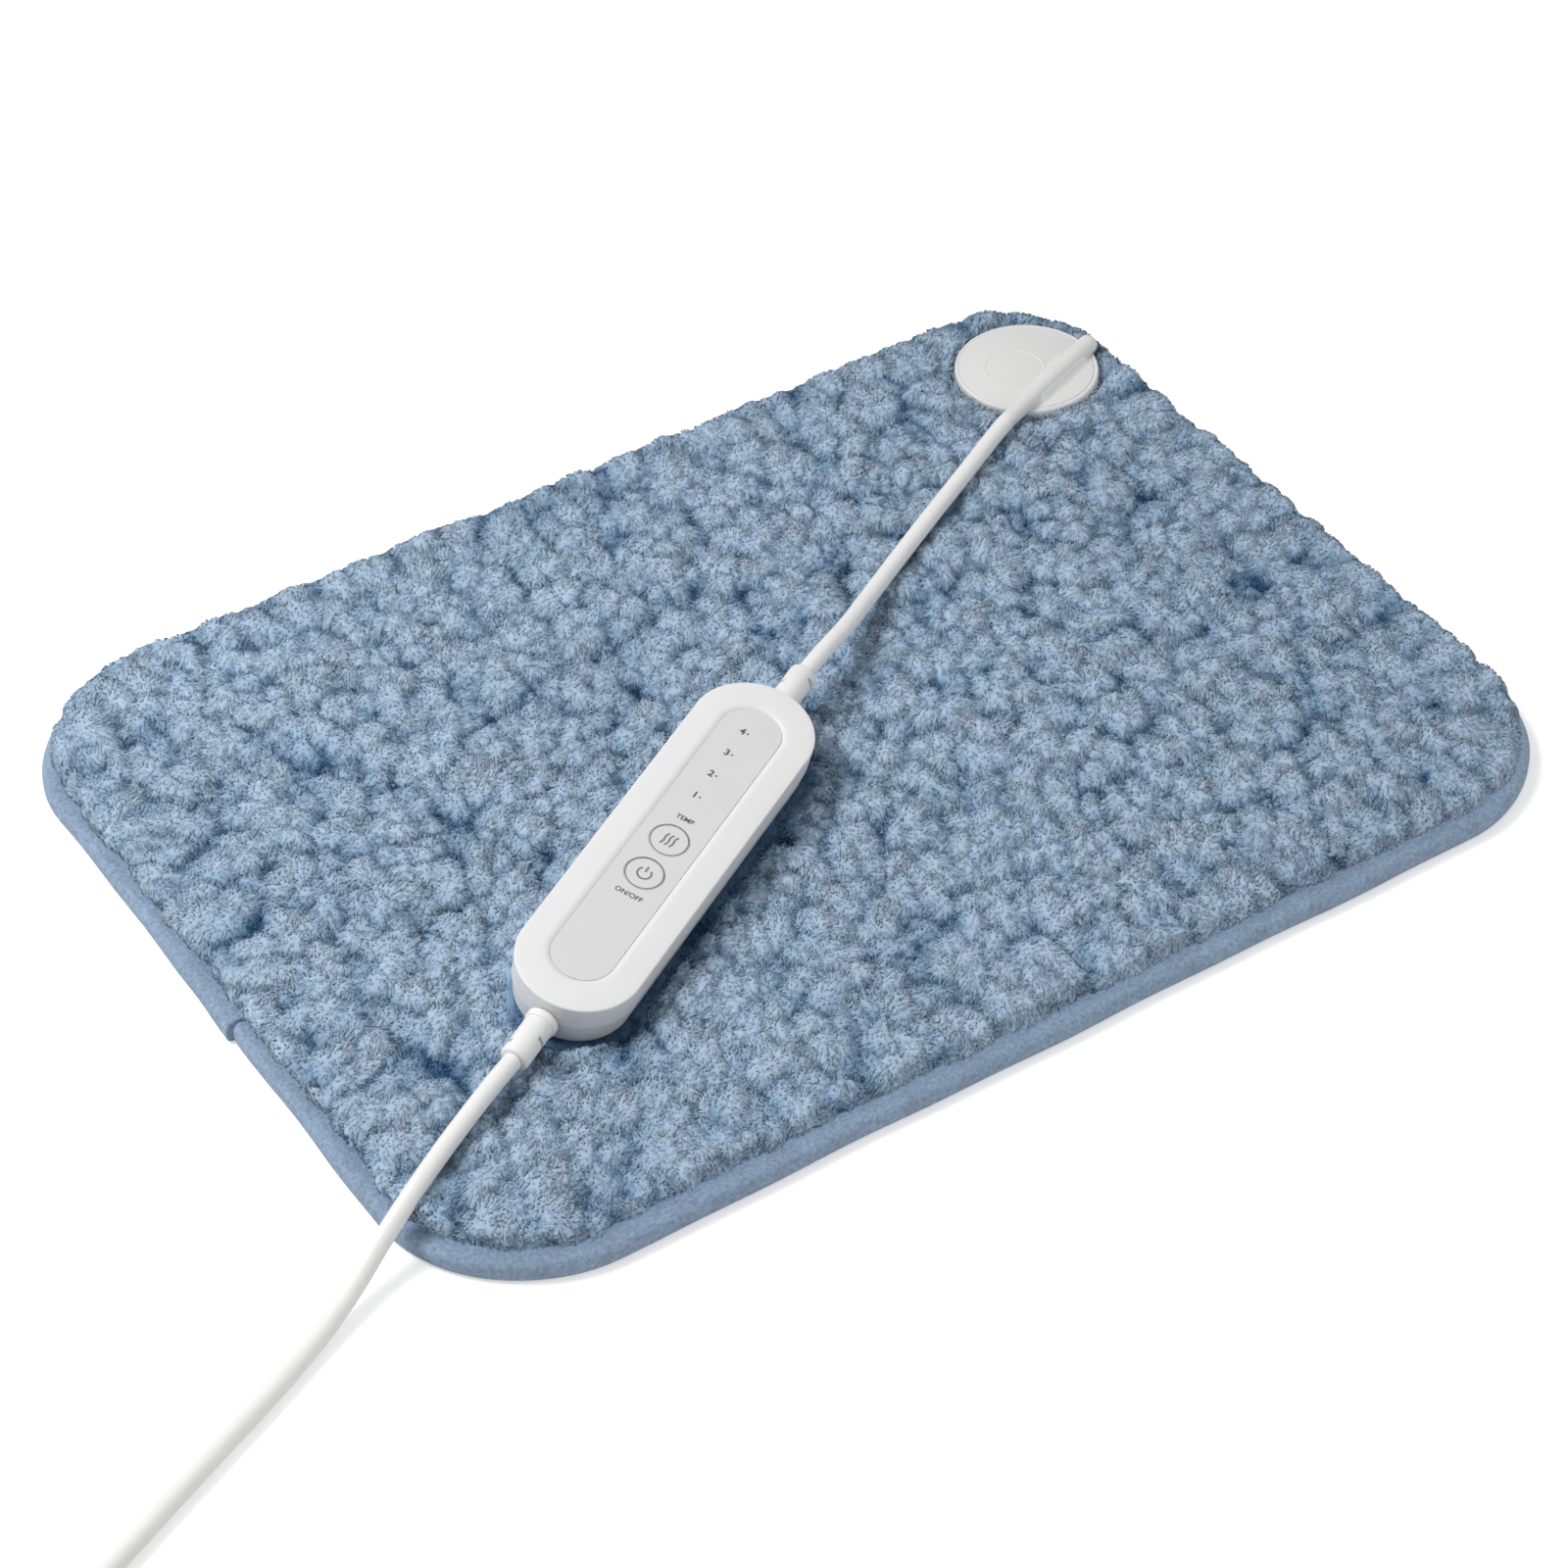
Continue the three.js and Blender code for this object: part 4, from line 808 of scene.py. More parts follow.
@dataclass(frozen=True)
class EdgeTape:
    """Folded tape sewn round the edge, its ends lapped on the left-hand side."""

    outline: PadOutline
    width: float = 10
    height: float = 6.4
    thickness: float = 1
    lap_end: float = -13
    lap_run: float = 26
    lap_rise: float = 0.9
    lap_bulge: float = 1.4
    notch: float = 0.35
    notch_run: float = 5

    def lap(self, x: float, y: float) -> float:
        """How far the lap lifts the tape.

        Args:
            x: a place along the pad.
            y: the place across it.

        Returns:
            Up to 1 at the lap's end, and under 0 in the notch past it.
        """
        if x > 0:
            return 0.0
        before = y - self.lap_end
        if before < 0:
            return -self.notch * smooth_step(1 + before / self.notch_run)
        return smooth_step(1 - before / self.lap_run)

    def profile(self) -> list[tuple[float, float, float, float]]:
        """The section of the folded tape.

        Returns:
            Inset, height, and how far a lap lifts and bulges each point.
        """
        high = self.height - self.thickness
        outer = [(*place, 0.0, 1.0) for place in arc((1.9, 1.9), 1.9, 270, 180, 5)]
        upper = [(*place, 0.7, 1.0) for place in arc((2.6, self.height - 2.3), 2.6, 180, 100, 7)]
        return [
            (self.width, 0.0, 0.0, 0.0), (5.0, 0.0, 0.0, 0.0), *outer, *upper,
            (4.6, self.height, 1.0, 0.0), (7.2, self.height - 0.12, 1.0, 0.0),
            (self.width - 0.3, self.height - 0.4, 1.0, 0.0), (self.width, self.height - 0.7, 1.0, 0.0),
            (self.width, high, 0.0, 0.0), (self.thickness, high, 0.0, 0.0),
            (self.thickness, self.thickness, 0.0, 0.0), (self.width, self.thickness, 0.0, 0.0),
        ]

    def stations(self) -> list[Station]:
        """Places round the edge, closer together at the end of the lap.

        Returns:
            The stations in order.
        """
        even = self.outline.outline.stations(28, 3)
        extra = [
            Station(-self.outline.length / 2 + self.outline.radius, self.lap_end + step, -1, 0)
            for step in (-4, -3, -2, -1, -0.3, -0.05, 0.05, 0.3)
        ]
        kept = [at for at in even if at.out_x > -0.999 or abs(at.y - self.lap_end + 1.5) > 2.8]
        left = [at for at in kept if at.out_x <= -0.999]
        first = kept.index(left[0])
        merged = sorted(left + extra, key=lambda at: -at.y)
        return kept[:first] + merged + kept[first + len(left) :]

    def build(self) -> None:
        """Makes the tape."""
        radius = self.outline.radius
        laps = [(at, self.lap(*at.at(radius, 0)[:2])) for at in self.stations()]
        rings = []
        for inset, height, lift, bulge in self.profile():
            ring = []
            for station, lap in laps:
                reach = radius - inset + bulge * lap * self.lap_bulge
                ring.append(self.outline.waved(station.at(reach, height + lift * lap * self.lap_rise)))
            rings.append(ring)
        Piece("edge_tape").skin(rings, closed=True).finish(Slot.TAPE, replaces=["edge_binding"], sharp=50)


@dataclass(frozen=True)
class Backing:
    """Knitted backing, held by the tape."""

    outline: PadOutline
    inset: float = 10.3
    flange_inset: float = 1.3
    flange_bottom: float = 1.3
    top: float = 2.2

    def build(self) -> None:
        """Makes the backing."""
        outline = self.outline.outline
        stations = outline.stations(28, 6)
        rings = [
            [self.outline.waved(point) for point in outline.ring(stations, inset, height)]
            for inset, height in (
                (self.inset + 0.3, 0), (self.inset, 0.3), (self.inset, self.flange_bottom),
                (self.flange_inset, self.flange_bottom), (self.flange_inset, self.top),
            )
        ]
        Piece("backing").skin(rings).finish(Slot.BACKING, replaces=["backing_cover"])


@dataclass(frozen=True)
class Seat:
    """What presses on the pile: the controller, the socket and the leads."""

    outline: PadOutline
    controller: "Controller"
    disc_x: float = 164.6
    disc_y: float = 103.2
    disc_radius: float = 24.2
    disc_rise: float = 3
    swell_reach: float = 16
    swell_lift: float = 0.5
    clearance: float = 0.5
    belly: float = 1.5
    deep: float = 4
    lid: float = 19
    disc_bottom: float = 8.4

    def underside(self, x: Array, y: Array) -> Array:
        """Height of the controller's underside over points on the pad."""
        _, _, up, origin = self.controller.place.col
        return origin.z - (up.x * (x - origin.x) + up.y * (y - origin.y)) / up.z

    def outside(self, points: Array) -> tuple[Array, Array, Array]:
        """Where points lie about the controller.

        Args:
            points: points on the pad, one to a row.

        Returns:
            Distance outside its outline, the way out of it and the height in its frame.
        """
        frame_of = np.array(self.controller.place.inverted())
        local = points @ frame_of[:3, :3].T + frame_of[:3, 3]
        straight = self.controller.length / 2 - self.controller.width / 2
        nearest = np.clip(local[:, 0], -straight, straight)
        away = np.stack([local[:, 0] - nearest, local[:, 1]], 1)
        reach = lengths(away)
        out = np.zeros_like(points)
        out[:, :2] = away / reach
        turned = out @ np.array(self.controller.place)[:3, :3].T
        return reach[:, 0] - self.controller.width / 2, turned, local[:, 2]

    def beyond(self, x: Array, y: Array) -> Array:
        """Distance outside the controller of points on the pad, at its underside."""
        return self.outside(np.stack([x, y, self.underside(x, y)], 1))[0]

    def height(self, x: Array, y: Array) -> Array:
        """The pile with its swell beside the controller's raised side.

        Args:
            x: places along the pad.
            y: places across it.

        Returns:
            Its height at each place.
        """
        away = np.stack([x - self.disc_x, y - self.disc_y], 1)
        reach = lengths(away)[:, 0]
        behind = smooth_step((away * self.outline.far_side).sum(1) / reach)
        ring = np.exp(-(((reach - self.disc_radius - 7) / 5) ** 2))
        flat = self.outline.pile(x, y) + self.disc_rise * behind * ring
        under = self.underside(x, y)
        beyond = self.beyond(x, y)
        near = 1 - smooth_step(beyond / self.swell_reach)
        swollen = flat + near * np.maximum(under + self.swell_lift - flat, 0)
        pressed = np.minimum(swollen, under - self.clearance)
        sunk = smooth_step((flat - under) / 3)
        share = smooth_step((beyond + 3 - 2 * sunk) / (3 + 5 * sunk))
        return pressed + (swollen - pressed) * share

    def covered(self, x: Array, y: Array) -> Array:
        """Which points lie well under the controller or the connector."""
        disc = np.hypot(x - self.disc_x, y - self.disc_y) < self.disc_radius - 0.5
        return (self.beyond(x, y) < -2.5) | disc

    def part(self, points: Array, cords: Sequence[tuple[Array, float]]) -> Array:
        """Moves points of the pile out of what lies on it.

        Args:
            points: points on the pad, one to a row.
            cords: the line of each cord or sleeve with the radius to keep clear.

        Returns:
            The moved points.
        """
        moved = points.copy()
        beyond, out, height = self.outside(moved)
        inside = (beyond < self.clearance) & (height > -self.clearance) & (height < self.lid)
        down = inside & ((height < self.belly) | (beyond < -self.deep))
        up = np.array(self.controller.place.col[2][:3])
        moved[down] -= (height[down] + self.clearance)[:, None] * up
        push = inside & ~down
        moved[push] += (self.clearance - beyond[push])[:, None] * out[push]
        for line, radius in cords:
            self._clear_line(moved, line, radius)
        away = moved[:, :2] - (self.disc_x, self.disc_y)
        reach = lengths(away)
        clear = self.disc_radius + 0.5
        near = (reach[:, 0] < clear) & (moved[:, 2] > self.disc_bottom)
        moved[near, :2] += away[near] / reach[near] * (clear - reach[near])
        return moved

    def _clear_line(self, points: Array, line: Array, radius: float) -> None:
        """Moves points down and away from a cord.

        Args:
            points: points on the pad, one to a row, that are changed in place.
            line: the cord's middle.
            radius: how far from it to keep clear.
        """
        reach = radius + 1
        span = (line.min(0) - reach, line.max(0) + reach)
        close = np.nonzero(((points > span[0]) & (points < span[1])).all(1))[0]
        some = points[close]
        best = np.full(len(close), np.inf)
        foot = np.zeros_like(some)
        for start, end in zip(line, line[1:]):
            run = end - start
            share = np.clip(((some - start) @ run) / (run @ run), 0, 1)
            place = start + share[:, None] * run
            apart = np.linalg.norm(some - place, axis=1)
            nearer = apart < best
            best[nearer] = apart[nearer]
            foot[nearer] = place[nearer]
        hit = best < radius
        away = some[hit] - foot[hit]
        away[:, 2] = np.minimum(away[:, 2], -0.15 * np.abs(away[:, 2]) - 0.2)
        some[hit] = foot[hit] + away / lengths(away) * radius
        points[close] = some


def ripple(spots: Array, length: float, phase: float) -> Array:
    """Slow irregular waves over the pad, from -1 to 1.

    Args:
        spots: places on the pad, as x and y.
        length: about how long a wave is.
        phase: shifts the waves.

    Returns:
        The height of the waves at each place.
    """
    x, y = spots.T / length * FULL_TURN
    warp_x = x + 1.3 * np.sin(0.61 * y + phase) + 0.7 * np.sin(1.37 * x - 0.8 * y)
    warp_y = y + 1.3 * np.sin(0.57 * x + 2.1 * phase) + 0.7 * np.sin(1.21 * y + 0.9 * x)
    return (np.sin(warp_x + phase) + np.sin(warp_y - phase) + np.sin(0.71 * (warp_x + warp_y))) / 3


class Tufts:
    """Tufts of one size scattered over the pad, each with a lean and a tint of its own.

    They are longer along the nap, which runs to the far side of the pad. Near the edge they
    are combed outward, and so stretched.
    """

    NAP = 1.5
    COMBED = 22
    STRETCH = 0.42

    def __init__(self, outline: PadOutline, pitch: float, wander: float, seed: int) -> None:
        """Scatters the tufts.

        Args:
            outline: the pad that they cover.
            pitch: about how far apart they are.
            wander: how far their borders wander.
            seed: the seed of chance.
        """
        chance = np.random.default_rng(seed)
        self.outline = outline
        self.pitch = pitch
        self.wander = wander
        margin = 4
        self.low = np.array([-outline.length, -outline.width]) / 2 - margin * pitch
        self.count = np.ceil(-2 * self.low / pitch).astype(int)
        cells = np.moveaxis(np.indices(self.count), 0, -1)
        stray = chance.uniform(-0.45, 0.45, cells.shape)
        self.middle = self.low + (cells + 0.5 + stray) * pitch
        angle = chance.uniform(0, FULL_TURN, cells.shape[:2])
        strength = chance.uniform(0.1, 1, cells.shape[:2])
        self.lean = np.stack([np.cos(angle), np.sin(angle)], -1) * strength[..., None]
        self.tint = chance.uniform(0, 1, cells.shape[:2])

    def at(self, spots: Array) -> dict[str, Array]:
        """What tuft each place belongs to.

        Args:
            spots: places on the pad, as x and y.

        Returns:
            The way from the tuft's middle, its lean and tint, the distance from its
            middle and the distance from its border.
        """
        waves = np.stack(
            [ripple(spots, 4.3 * self.wander + 5, 1.7), ripple(spots, 4.3 * self.wander + 5, 4.4)], 1
        )
        border = np.minimum(self.outline.inset(*spots.T) - self.COMBED, 0) * self.STRETCH
        asked = spots + waves * self.wander + self.outline.out(*spots.T) * border[:, None]
        nap = np.array(self.outline.far_side)
        asked = asked + (asked @ nap * (1 / self.NAP - 1))[:, None] * nap
        cell = ((asked - self.low) / self.pitch).astype(int)
        nearest = np.full(len(spots), np.inf)
        second = np.full(len(spots), np.inf)
        choice = np.zeros((len(spots), 2), int)
        for shift_x in (-1, 0, 1):
            for shift_y in (-1, 0, 1):
                other = np.clip(cell + (shift_x, shift_y), 0, self.count - 1)
                apart = np.linalg.norm(self.middle[other[:, 0], other[:, 1]] - asked, axis=1)
                second = np.minimum(second, np.maximum(apart, nearest))
                closer = apart < nearest
                nearest[closer] = apart[closer]
                choice[closer] = other[closer]
        pick = (choice[:, 0], choice[:, 1])
        way = asked - self.middle[pick]
        return {
            "way": way + (way @ nap * (self.NAP - 1))[:, None] * nap, "lean": self.lean[pick],
            "tint": self.tint[pick], "reach": nearest, "border": second - nearest,
        }


@dataclass(frozen=True)
class Pile:
    """The plush: a tufted ground that rolls over the rim, with a dense coat of fibres.

    The ground is worked out on a flat sheet, whose border is then rolled over the rim. A spot
    is a place on that sheet.
    """

    # Painted shade of the pile: low values, in clefts and at fibre roots, are painted darker.
    ALONG = "along"
    TINT = "tint"
    FACING = "facing"

    outline: PadOutline
    seat: Seat
    cords: tuple[tuple[Array, float], ...] = ()
    seed: int = 11
    pitches: tuple[float, ...] = (14, 7, 3.6)
    heights: tuple[float, ...] = (2.0, 1.7, 0.6)
    shares: tuple[float, ...] = (0.42, 0.48, 0.1)
    roll_start: float = 8.2
    roll_radius: float = 3.7
    roll_turn: float = 2.6
    fibre_pitch: float = 0.98
    fibre_width: float = 0.74
    fibre_flat: float = 0.28
    evenness: float = 0.75
    fibre_run: float = 2.3
    fibre_limit: float = 6.5
    ground_depth: float = 0.3
    ground_step: float = 1.35
    strips: int = 10
    tape_top: float = 6.75
    tape_reach: float = 10.6
    hem: float = 1.3
    skirt: float = 10.35
    disc_bed: float = 8.3

    @property
    def sheet_end(self) -> float:
        """Inset of the sheet's rolled border, under 0 because it is rolled."""
        return self.roll_start - self.roll_turn * self.roll_radius

    @cached_property
    def tufts(self) -> tuple[Tufts, ...]:
        """Tufts of each size, from big to small."""
        return tuple(
            Tufts(self.outline, pitch, 0.2 * pitch, self.seed + order)
            for order, pitch in enumerate(self.pitches)
        )

    def _dome(self, kind: Tufts, spots: Array) -> Array:
        """How far up a tuft each spot is.

        Args:
            kind: tufts of one size.
            spots: places on the flat sheet, as x and y.

        Returns:
            From 0 in a cleft to about 1 on a tuft.
        """
        tuft = kind.at(spots)
        strength = np.clip(0.1 + 1.1 * ripple(spots, kind.pitch * 1.9, kind.pitch), 0, 0.95)
        cleft = strength * np.exp(-tuft["border"] / (0.4 + 0.15 * kind.pitch))
        body = 1.05 - 0.9 * np.minimum(tuft["reach"] / (0.8 * kind.pitch), 1) ** 3
        tilt = 0.8 * (tuft["way"] * tuft["lean"]).sum(1) / kind.pitch
        return (1 - cleft) * (body + tilt)

    def _relief(self, spots: Array) -> tuple[Array, Array]:
        """The tufts over the combed pile.

        Args:
            spots: places on the flat sheet, as x and y.

        Returns:
            How high each spot stands, and its painted shade, from 0, darkest in a cleft, to 1.
        """
        height = 0.4 * ripple(spots, 31, 0.9)
        light = np.zeros(len(spots))
        for kind, rise, share in zip(self.tufts, self.heights, self.shares):
            dome = self._dome(kind, spots)
            height += rise * (dome - 0.75)
            # Painted shade: the clefts between tufts get low values, which the finish paints darker.
            light += share * dome
        return height, light

    def _surface(self, spots: Array, lift: Array | float) -> tuple[Array, ...]:
        """The tufted ground.

        Args:
            spots: places on the flat sheet, as x and y.
            lift: how far over the ground each place is wanted.

        Returns:
            The points, the way that the ground faces there and its painted shade.
        """
        out = np.column_stack([self.outline.out(*spots.T), np.zeros(len(spots))])
        over = np.clip(self.roll_start - self.outline.inset(*spots.T), 0, None)
        angle = np.minimum(over / self.roll_radius, self.roll_turn)
        over = angle * self.roll_radius
        rise, run = np.cos(angle)[:, None], np.sin(angle)[:, None]
        plan = spots + out[:, :2] * (self.roll_radius * np.sin(angle) - over)[:, None]
        level = self.seat.height(*plan.T)
        under, beyond = self.seat.underside(*plan.T), self.seat.beyond(*plan.T)
        far = smooth_step((out[:, :2] * self.outline.far_side).sum(1)) * smooth_step(angle)
        bare = smooth_step((beyond + 1) / 6) * (1 - smooth_step((angle - 2) / 0.6)) * (1 - 0.45 * far)
        height, light = self._relief(spots)
        # Painted shadow beside the controller: the pile is darkened by up to 0.7 where the controller
        # sinks into it, fading out 10 mm from its side.
        sunk = smooth_step((self.seat.outline.pile(*plan.T) - under + 1) / 3)
        light = light * (1 - 0.7 * sunk * (1 - smooth_step(beyond / 10)))
        slope = np.zeros((len(spots), 3))
        for axis, step in enumerate(np.eye(2) * 0.5):
            change = (self._relief(spots + step)[0] - height) / 0.5
            slope[:, axis] = self.evenness * change * bare
        up = np.array([0, 0, 1.0])
        normal = out * run + up * rise
        points = np.column_stack([plan, level - self.roll_radius * (1 - np.cos(angle))])
        points = points + normal * (height * bare + lift)[:, None]
        outward = (slope * out).sum(1)[:, None]
        facing = normal - outward * (out * rise - up * run) - (slope - outward * out)
        return points, facing / lengths(facing), light

    def _roots(self, chance: np.random.Generator) -> Array:
        """Where fibres grow: scattered over the pile, but not under what lies on it.

        Args:
            chance: the source of chance.

        Returns:
            Places on the flat sheet, as x and y.
        """
        half = np.array([self.outline.length, self.outline.width]) / 2 + 1
        steps = (2 * half / self.fibre_pitch).astype(int)
        grid = np.indices(steps).reshape(2, -1).T + 0.5
        spots = (grid / steps * 2 - 1) * half
        spots = spots + chance.uniform(-0.6, 0.6, spots.shape) * self.fibre_pitch
        kept = (self.outline.inset(*spots.T) > self.sheet_end) & ~self.seat.covered(*spots.T)
        return spots[kept]

    def _spines(self, roots: Array, chance: np.random.Generator) -> tuple[Array, ...]:
        """The bent line of each fibre.

        Args:
            roots: where the fibres grow.
            chance: the source of chance.

        Returns:
            Three points to a fibre, the way each faces, the painted shade at each, and the fibre's tint
            and width.
        """
        big, small = (kind.at(roots) for kind in self.tufts[:2])
        count = len(roots)
        over = np.clip(self.roll_start + 8 - self.outline.inset(*roots.T), 0, 12) / 12
        away = small["way"] / self.pitches[1] * 1.3 + big["way"] / self.pitches[0] * 1.1
        run = away + 0.5 * big["lean"] + 0.3 * small["lean"] + chance.normal(0, 0.34, (count, 2))
        run = run * (self.fibre_run * (1 + 0.5 * chance.random(count) ** 3))[:, None]
        run = run + self.outline.out(*roots.T) * (1.7 * over)[:, None]
        proud = np.abs(chance.normal(0, 0.08, count)) + 0.6 * chance.random(count) ** 14
        spines = np.empty((count, 3, 3))
        facing = np.empty((count, 3, 3))
        light = np.empty((count, 3))
        steps = ((0.0, -self.ground_depth - 0.3, 0.0), (0.42, 0.16, 0.35), (1.0, 0.06, 1.0))
        for order, (share, rise, free) in enumerate(steps):
            found = self._surface(roots + run * share, rise + free * proud)
            spines[:, order], facing[:, order], light[:, order] = found
        flat = self.seat.part(spines.reshape(-1, 3), self.cords)
        floor = np.where(self.outline.inset(*flat[:, :2].T) < self.tape_reach, self.tape_top, 0)
        flat[:, 2] = np.maximum(flat[:, 2], floor)
        spines = flat.reshape(-1, 3, 3)
        tint = 0.3 * big["tint"] + 0.3 * small["tint"] + 0.4 * chance.random(count)
        width = self.fibre_width * chance.uniform(0.65, 1.35, count)
        kept = np.linalg.norm(np.diff(spines, axis=1), axis=2).sum(1) < self.fibre_limit
        kept &= self.outline.inset(*(roots + run).T) > self.sheet_end
        return tuple(values[kept] for values in (spines, facing, light, tint, width))

    @cached_property
    def _fibre(self) -> tuple[Array, list[tuple[int, ...]], Array]:
        """One straight fibre.

        Returns:
            Its corners about its line, its faces, and the place along it of each corner.
        """
        angles = [FULL_TURN * (order + 0.25) / 3 for order in range(3)]
        rings = [
            [(taper * math.cos(angle), taper * math.sin(angle), level) for angle in angles]
            for level, taper in enumerate((0.85, 1.0, 0.0))
        ]
        mesh = Piece("fibre").skin(rings).mesh
        bmesh.ops.remove_doubles(mesh, verts=mesh.verts, dist=1e-4)
        bmesh.ops.recalc_face_normals(mesh, faces=mesh.faces)
        mesh.verts.index_update()
        corners = np.array([vert.co[:] for vert in mesh.verts])
        faces = [tuple(vert.index for vert in face.verts) for face in mesh.faces]
        mesh.free()
        return corners, faces, np.round(corners[:, 2]).astype(int)

    def _grow(self, spines: Array, facing: Array, width: Array) -> Array:
        """Lays a fibre along each line, with a flat side up.

        Args:
            spines: three points to a fibre.
            facing: the way that the ground faces at each.
            width: how wide each fibre is.

        Returns:
            The corners of all the fibres.
        """
        corners, _, level = self._fibre
        way = spines[:, [1, 2, 2]] - spines[:, [0, 0, 1]]
        way /= lengths(way)
        side = np.cross(way, facing)
        side /= lengths(side)
        across = np.cross(side, way)
        half = width[:, None, None] / 2
        return (
            spines[:, level]
            + side[:, level] * corners[:, 0][None, :, None] * half
            + across[:, level] * corners[:, 1][None, :, None] * half * self.fibre_flat
        )

    def _strip(self, name: str, fibres: tuple[Array, ...]) -> None:
        """Makes one strip of fibres.

        Args:
            name: what the strip is called.
            fibres: their corners, the way that each of their three points faces and its painted shade, and
                their tint.
        """
        corners, facing, light, tint = fibres
        section, faces, level = self._fibre
        under = np.where(section[:, 1] < -0.5, -1.0, 1.0)[None, :, None]
        count, per_fibre = corners.shape[:2]
        sides = np.concatenate([np.array(face) for face in faces])
        sizes = np.array([len(face) for face in faces])
        first = np.arange(count)[:, None] * per_fibre
        data = bpy.data.meshes.new(name)
        data.vertices.add(count * per_fibre)
        data.vertices.foreach_set("co", (corners * MM).astype(np.float32).ravel())
        data.loops.add(count * len(sides))
        data.loops.foreach_set("vertex_index", (sides[None] + first).astype(np.int32).ravel())
        data.polygons.add(count * len(faces))
        starts = np.concatenate([[0], np.cumsum(sizes)[:-1]])
        data.polygons.foreach_set(
            "loop_start", (starts[None] + np.arange(count)[:, None] * len(sides)).astype(np.int32).ravel(),
        )
        data.update(calc_edges=True)
        # Painted shade: each fibre is darker at its root than at its tip.
        rise = np.array([0.92, 1.0, 1.02])[level]
        self._mark(data, light[:, level] * rise, np.repeat(tint, per_fibre), facing[:, level] * under)
        data.shade_smooth()
        data.materials.append(painted(Slot.PLUSH.value))
        made = link(name, data)
        made.visible_shadow = False
        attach(made, Body.PAD.value)
        log.info("%s: %d fibres", name, count)

    def _mark(self, data: bpy.types.Mesh, along: Array, tint: Array, facing: Array) -> None:
        """Writes the values that the finish reads.

        Args:
            data: the mesh.
            along: painted shade, darker towards the root of each fibre and in clefts.
            tint: its tint.
            facing: the way that it is lit from.
        """
        for name, values in ((self.ALONG, along), (self.TINT, tint)):
            layer = data.attributes.new(name, "FLOAT", "POINT")
            layer.data.foreach_set("value", values.astype(np.float32).ravel())
        layer = data.attributes.new(self.FACING, "FLOAT_VECTOR", "POINT")
        layer.data.foreach_set("vector", facing.astype(np.float32).ravel())

    def _ground(self) -> None:
        """Makes the ground of the pile, with its flange in the tape."""
        outline = self.outline.outline
        step = self.ground_step * 1
        stations = outline.stations(round(70 / step), step)
        skirt, hem = self.skirt, self.hem
        flat = [(skirt + 0.3, 7.4), (skirt, 2.5), (hem, 2.5), (hem, 5.1), (skirt, 5.1), (skirt, 6.4)]
        rings = [
            [self.outline.waved(point) for point in outline.ring(stations, inset, height)]
            for inset, height in flat
        ]
        roll = self.roll_turn * self.roll_radius
        steps = round(roll / step)
        rings += [
            outline.ring(stations, self.roll_start - roll * (1 - place / steps), 0.0)
            for place in range(steps + 1)
        ]
        spine = (self.outline.length - self.outline.width) / 2
        steps = round(self.outline.width / 2 / step)
        starts = rings[-1]
        for place in range(1, steps + 1):
            share = 0.99 * place / steps
            ring = [(x, y, min(max(x, -spine), spine)) for x, y, _ in starts]
            rings.append([(x + (goal - x) * share, y * (1 - share), 0.0) for x, y, goal in ring])
        piece = Piece("plush_ground").skin(rings)
        middle = [face for face in piece.mesh.faces if len(face.verts) > 4 and not face.verts[0].co.z]
        bmesh.ops.triangulate(piece.mesh, faces=middle)
        places = np.array([vert.co[:] for vert in piece.mesh.verts])
        top = places[:, 2] == 0
        facing = np.tile([0, 0, 1.0], (len(places), 1))
        # The flange hidden in the tape gets a low painted shade.
        light = np.full(len(places), 0.3)
        places[top], facing[top], light[top] = self._surface(places[top, :2], -self.ground_depth)
        reach = np.hypot(places[:, 0] - self.seat.disc_x, places[:, 1] - self.seat.disc_y)
        near = smooth_step((reach - self.seat.disc_radius - 0.2) / 1.6)
        places[top, 2] = (self.disc_bed + (places[:, 2] - self.disc_bed) * near)[top]
        # Painted shade: the ground is darkened by up to a quarter next to the controller.
        light = light * (0.75 + 0.25 * smooth_step((self.seat.outside(places)[0] - 0.5) / 3))
        for vert, place in zip(piece.mesh.verts, places):
            vert.co = place
        made = piece.finish(Slot.PLUSH, replaces=["plush_cover"], sharp=70)
        # A little painted shade over the whole ground.
        self._mark(made.data, light * 0.95, np.full(len(light), 0.5), facing)
        made.visible_shadow = False

    def build(self) -> None:
        """Makes the pile."""
        chance = np.random.default_rng(self.seed)
        self._ground()
        roots = self._roots(chance)
        spines, facing, light, tint, width = self._spines(roots, chance)
        corners = self._grow(spines, facing, width * (1))
        across = spines[:, 0, 0]
        edges = np.quantile(across, np.linspace(0, 1, self.strips + 1))
        strip = np.clip(np.searchsorted(edges, across, side="right") - 1, 0, self.strips - 1)
        for order in range(self.strips):
            mine = strip == order
            fibres = tuple(values[mine] for values in (corners, facing, light, tint))
            self._strip(f"plush_strip_{order + 1}", fibres)


# The hand controller


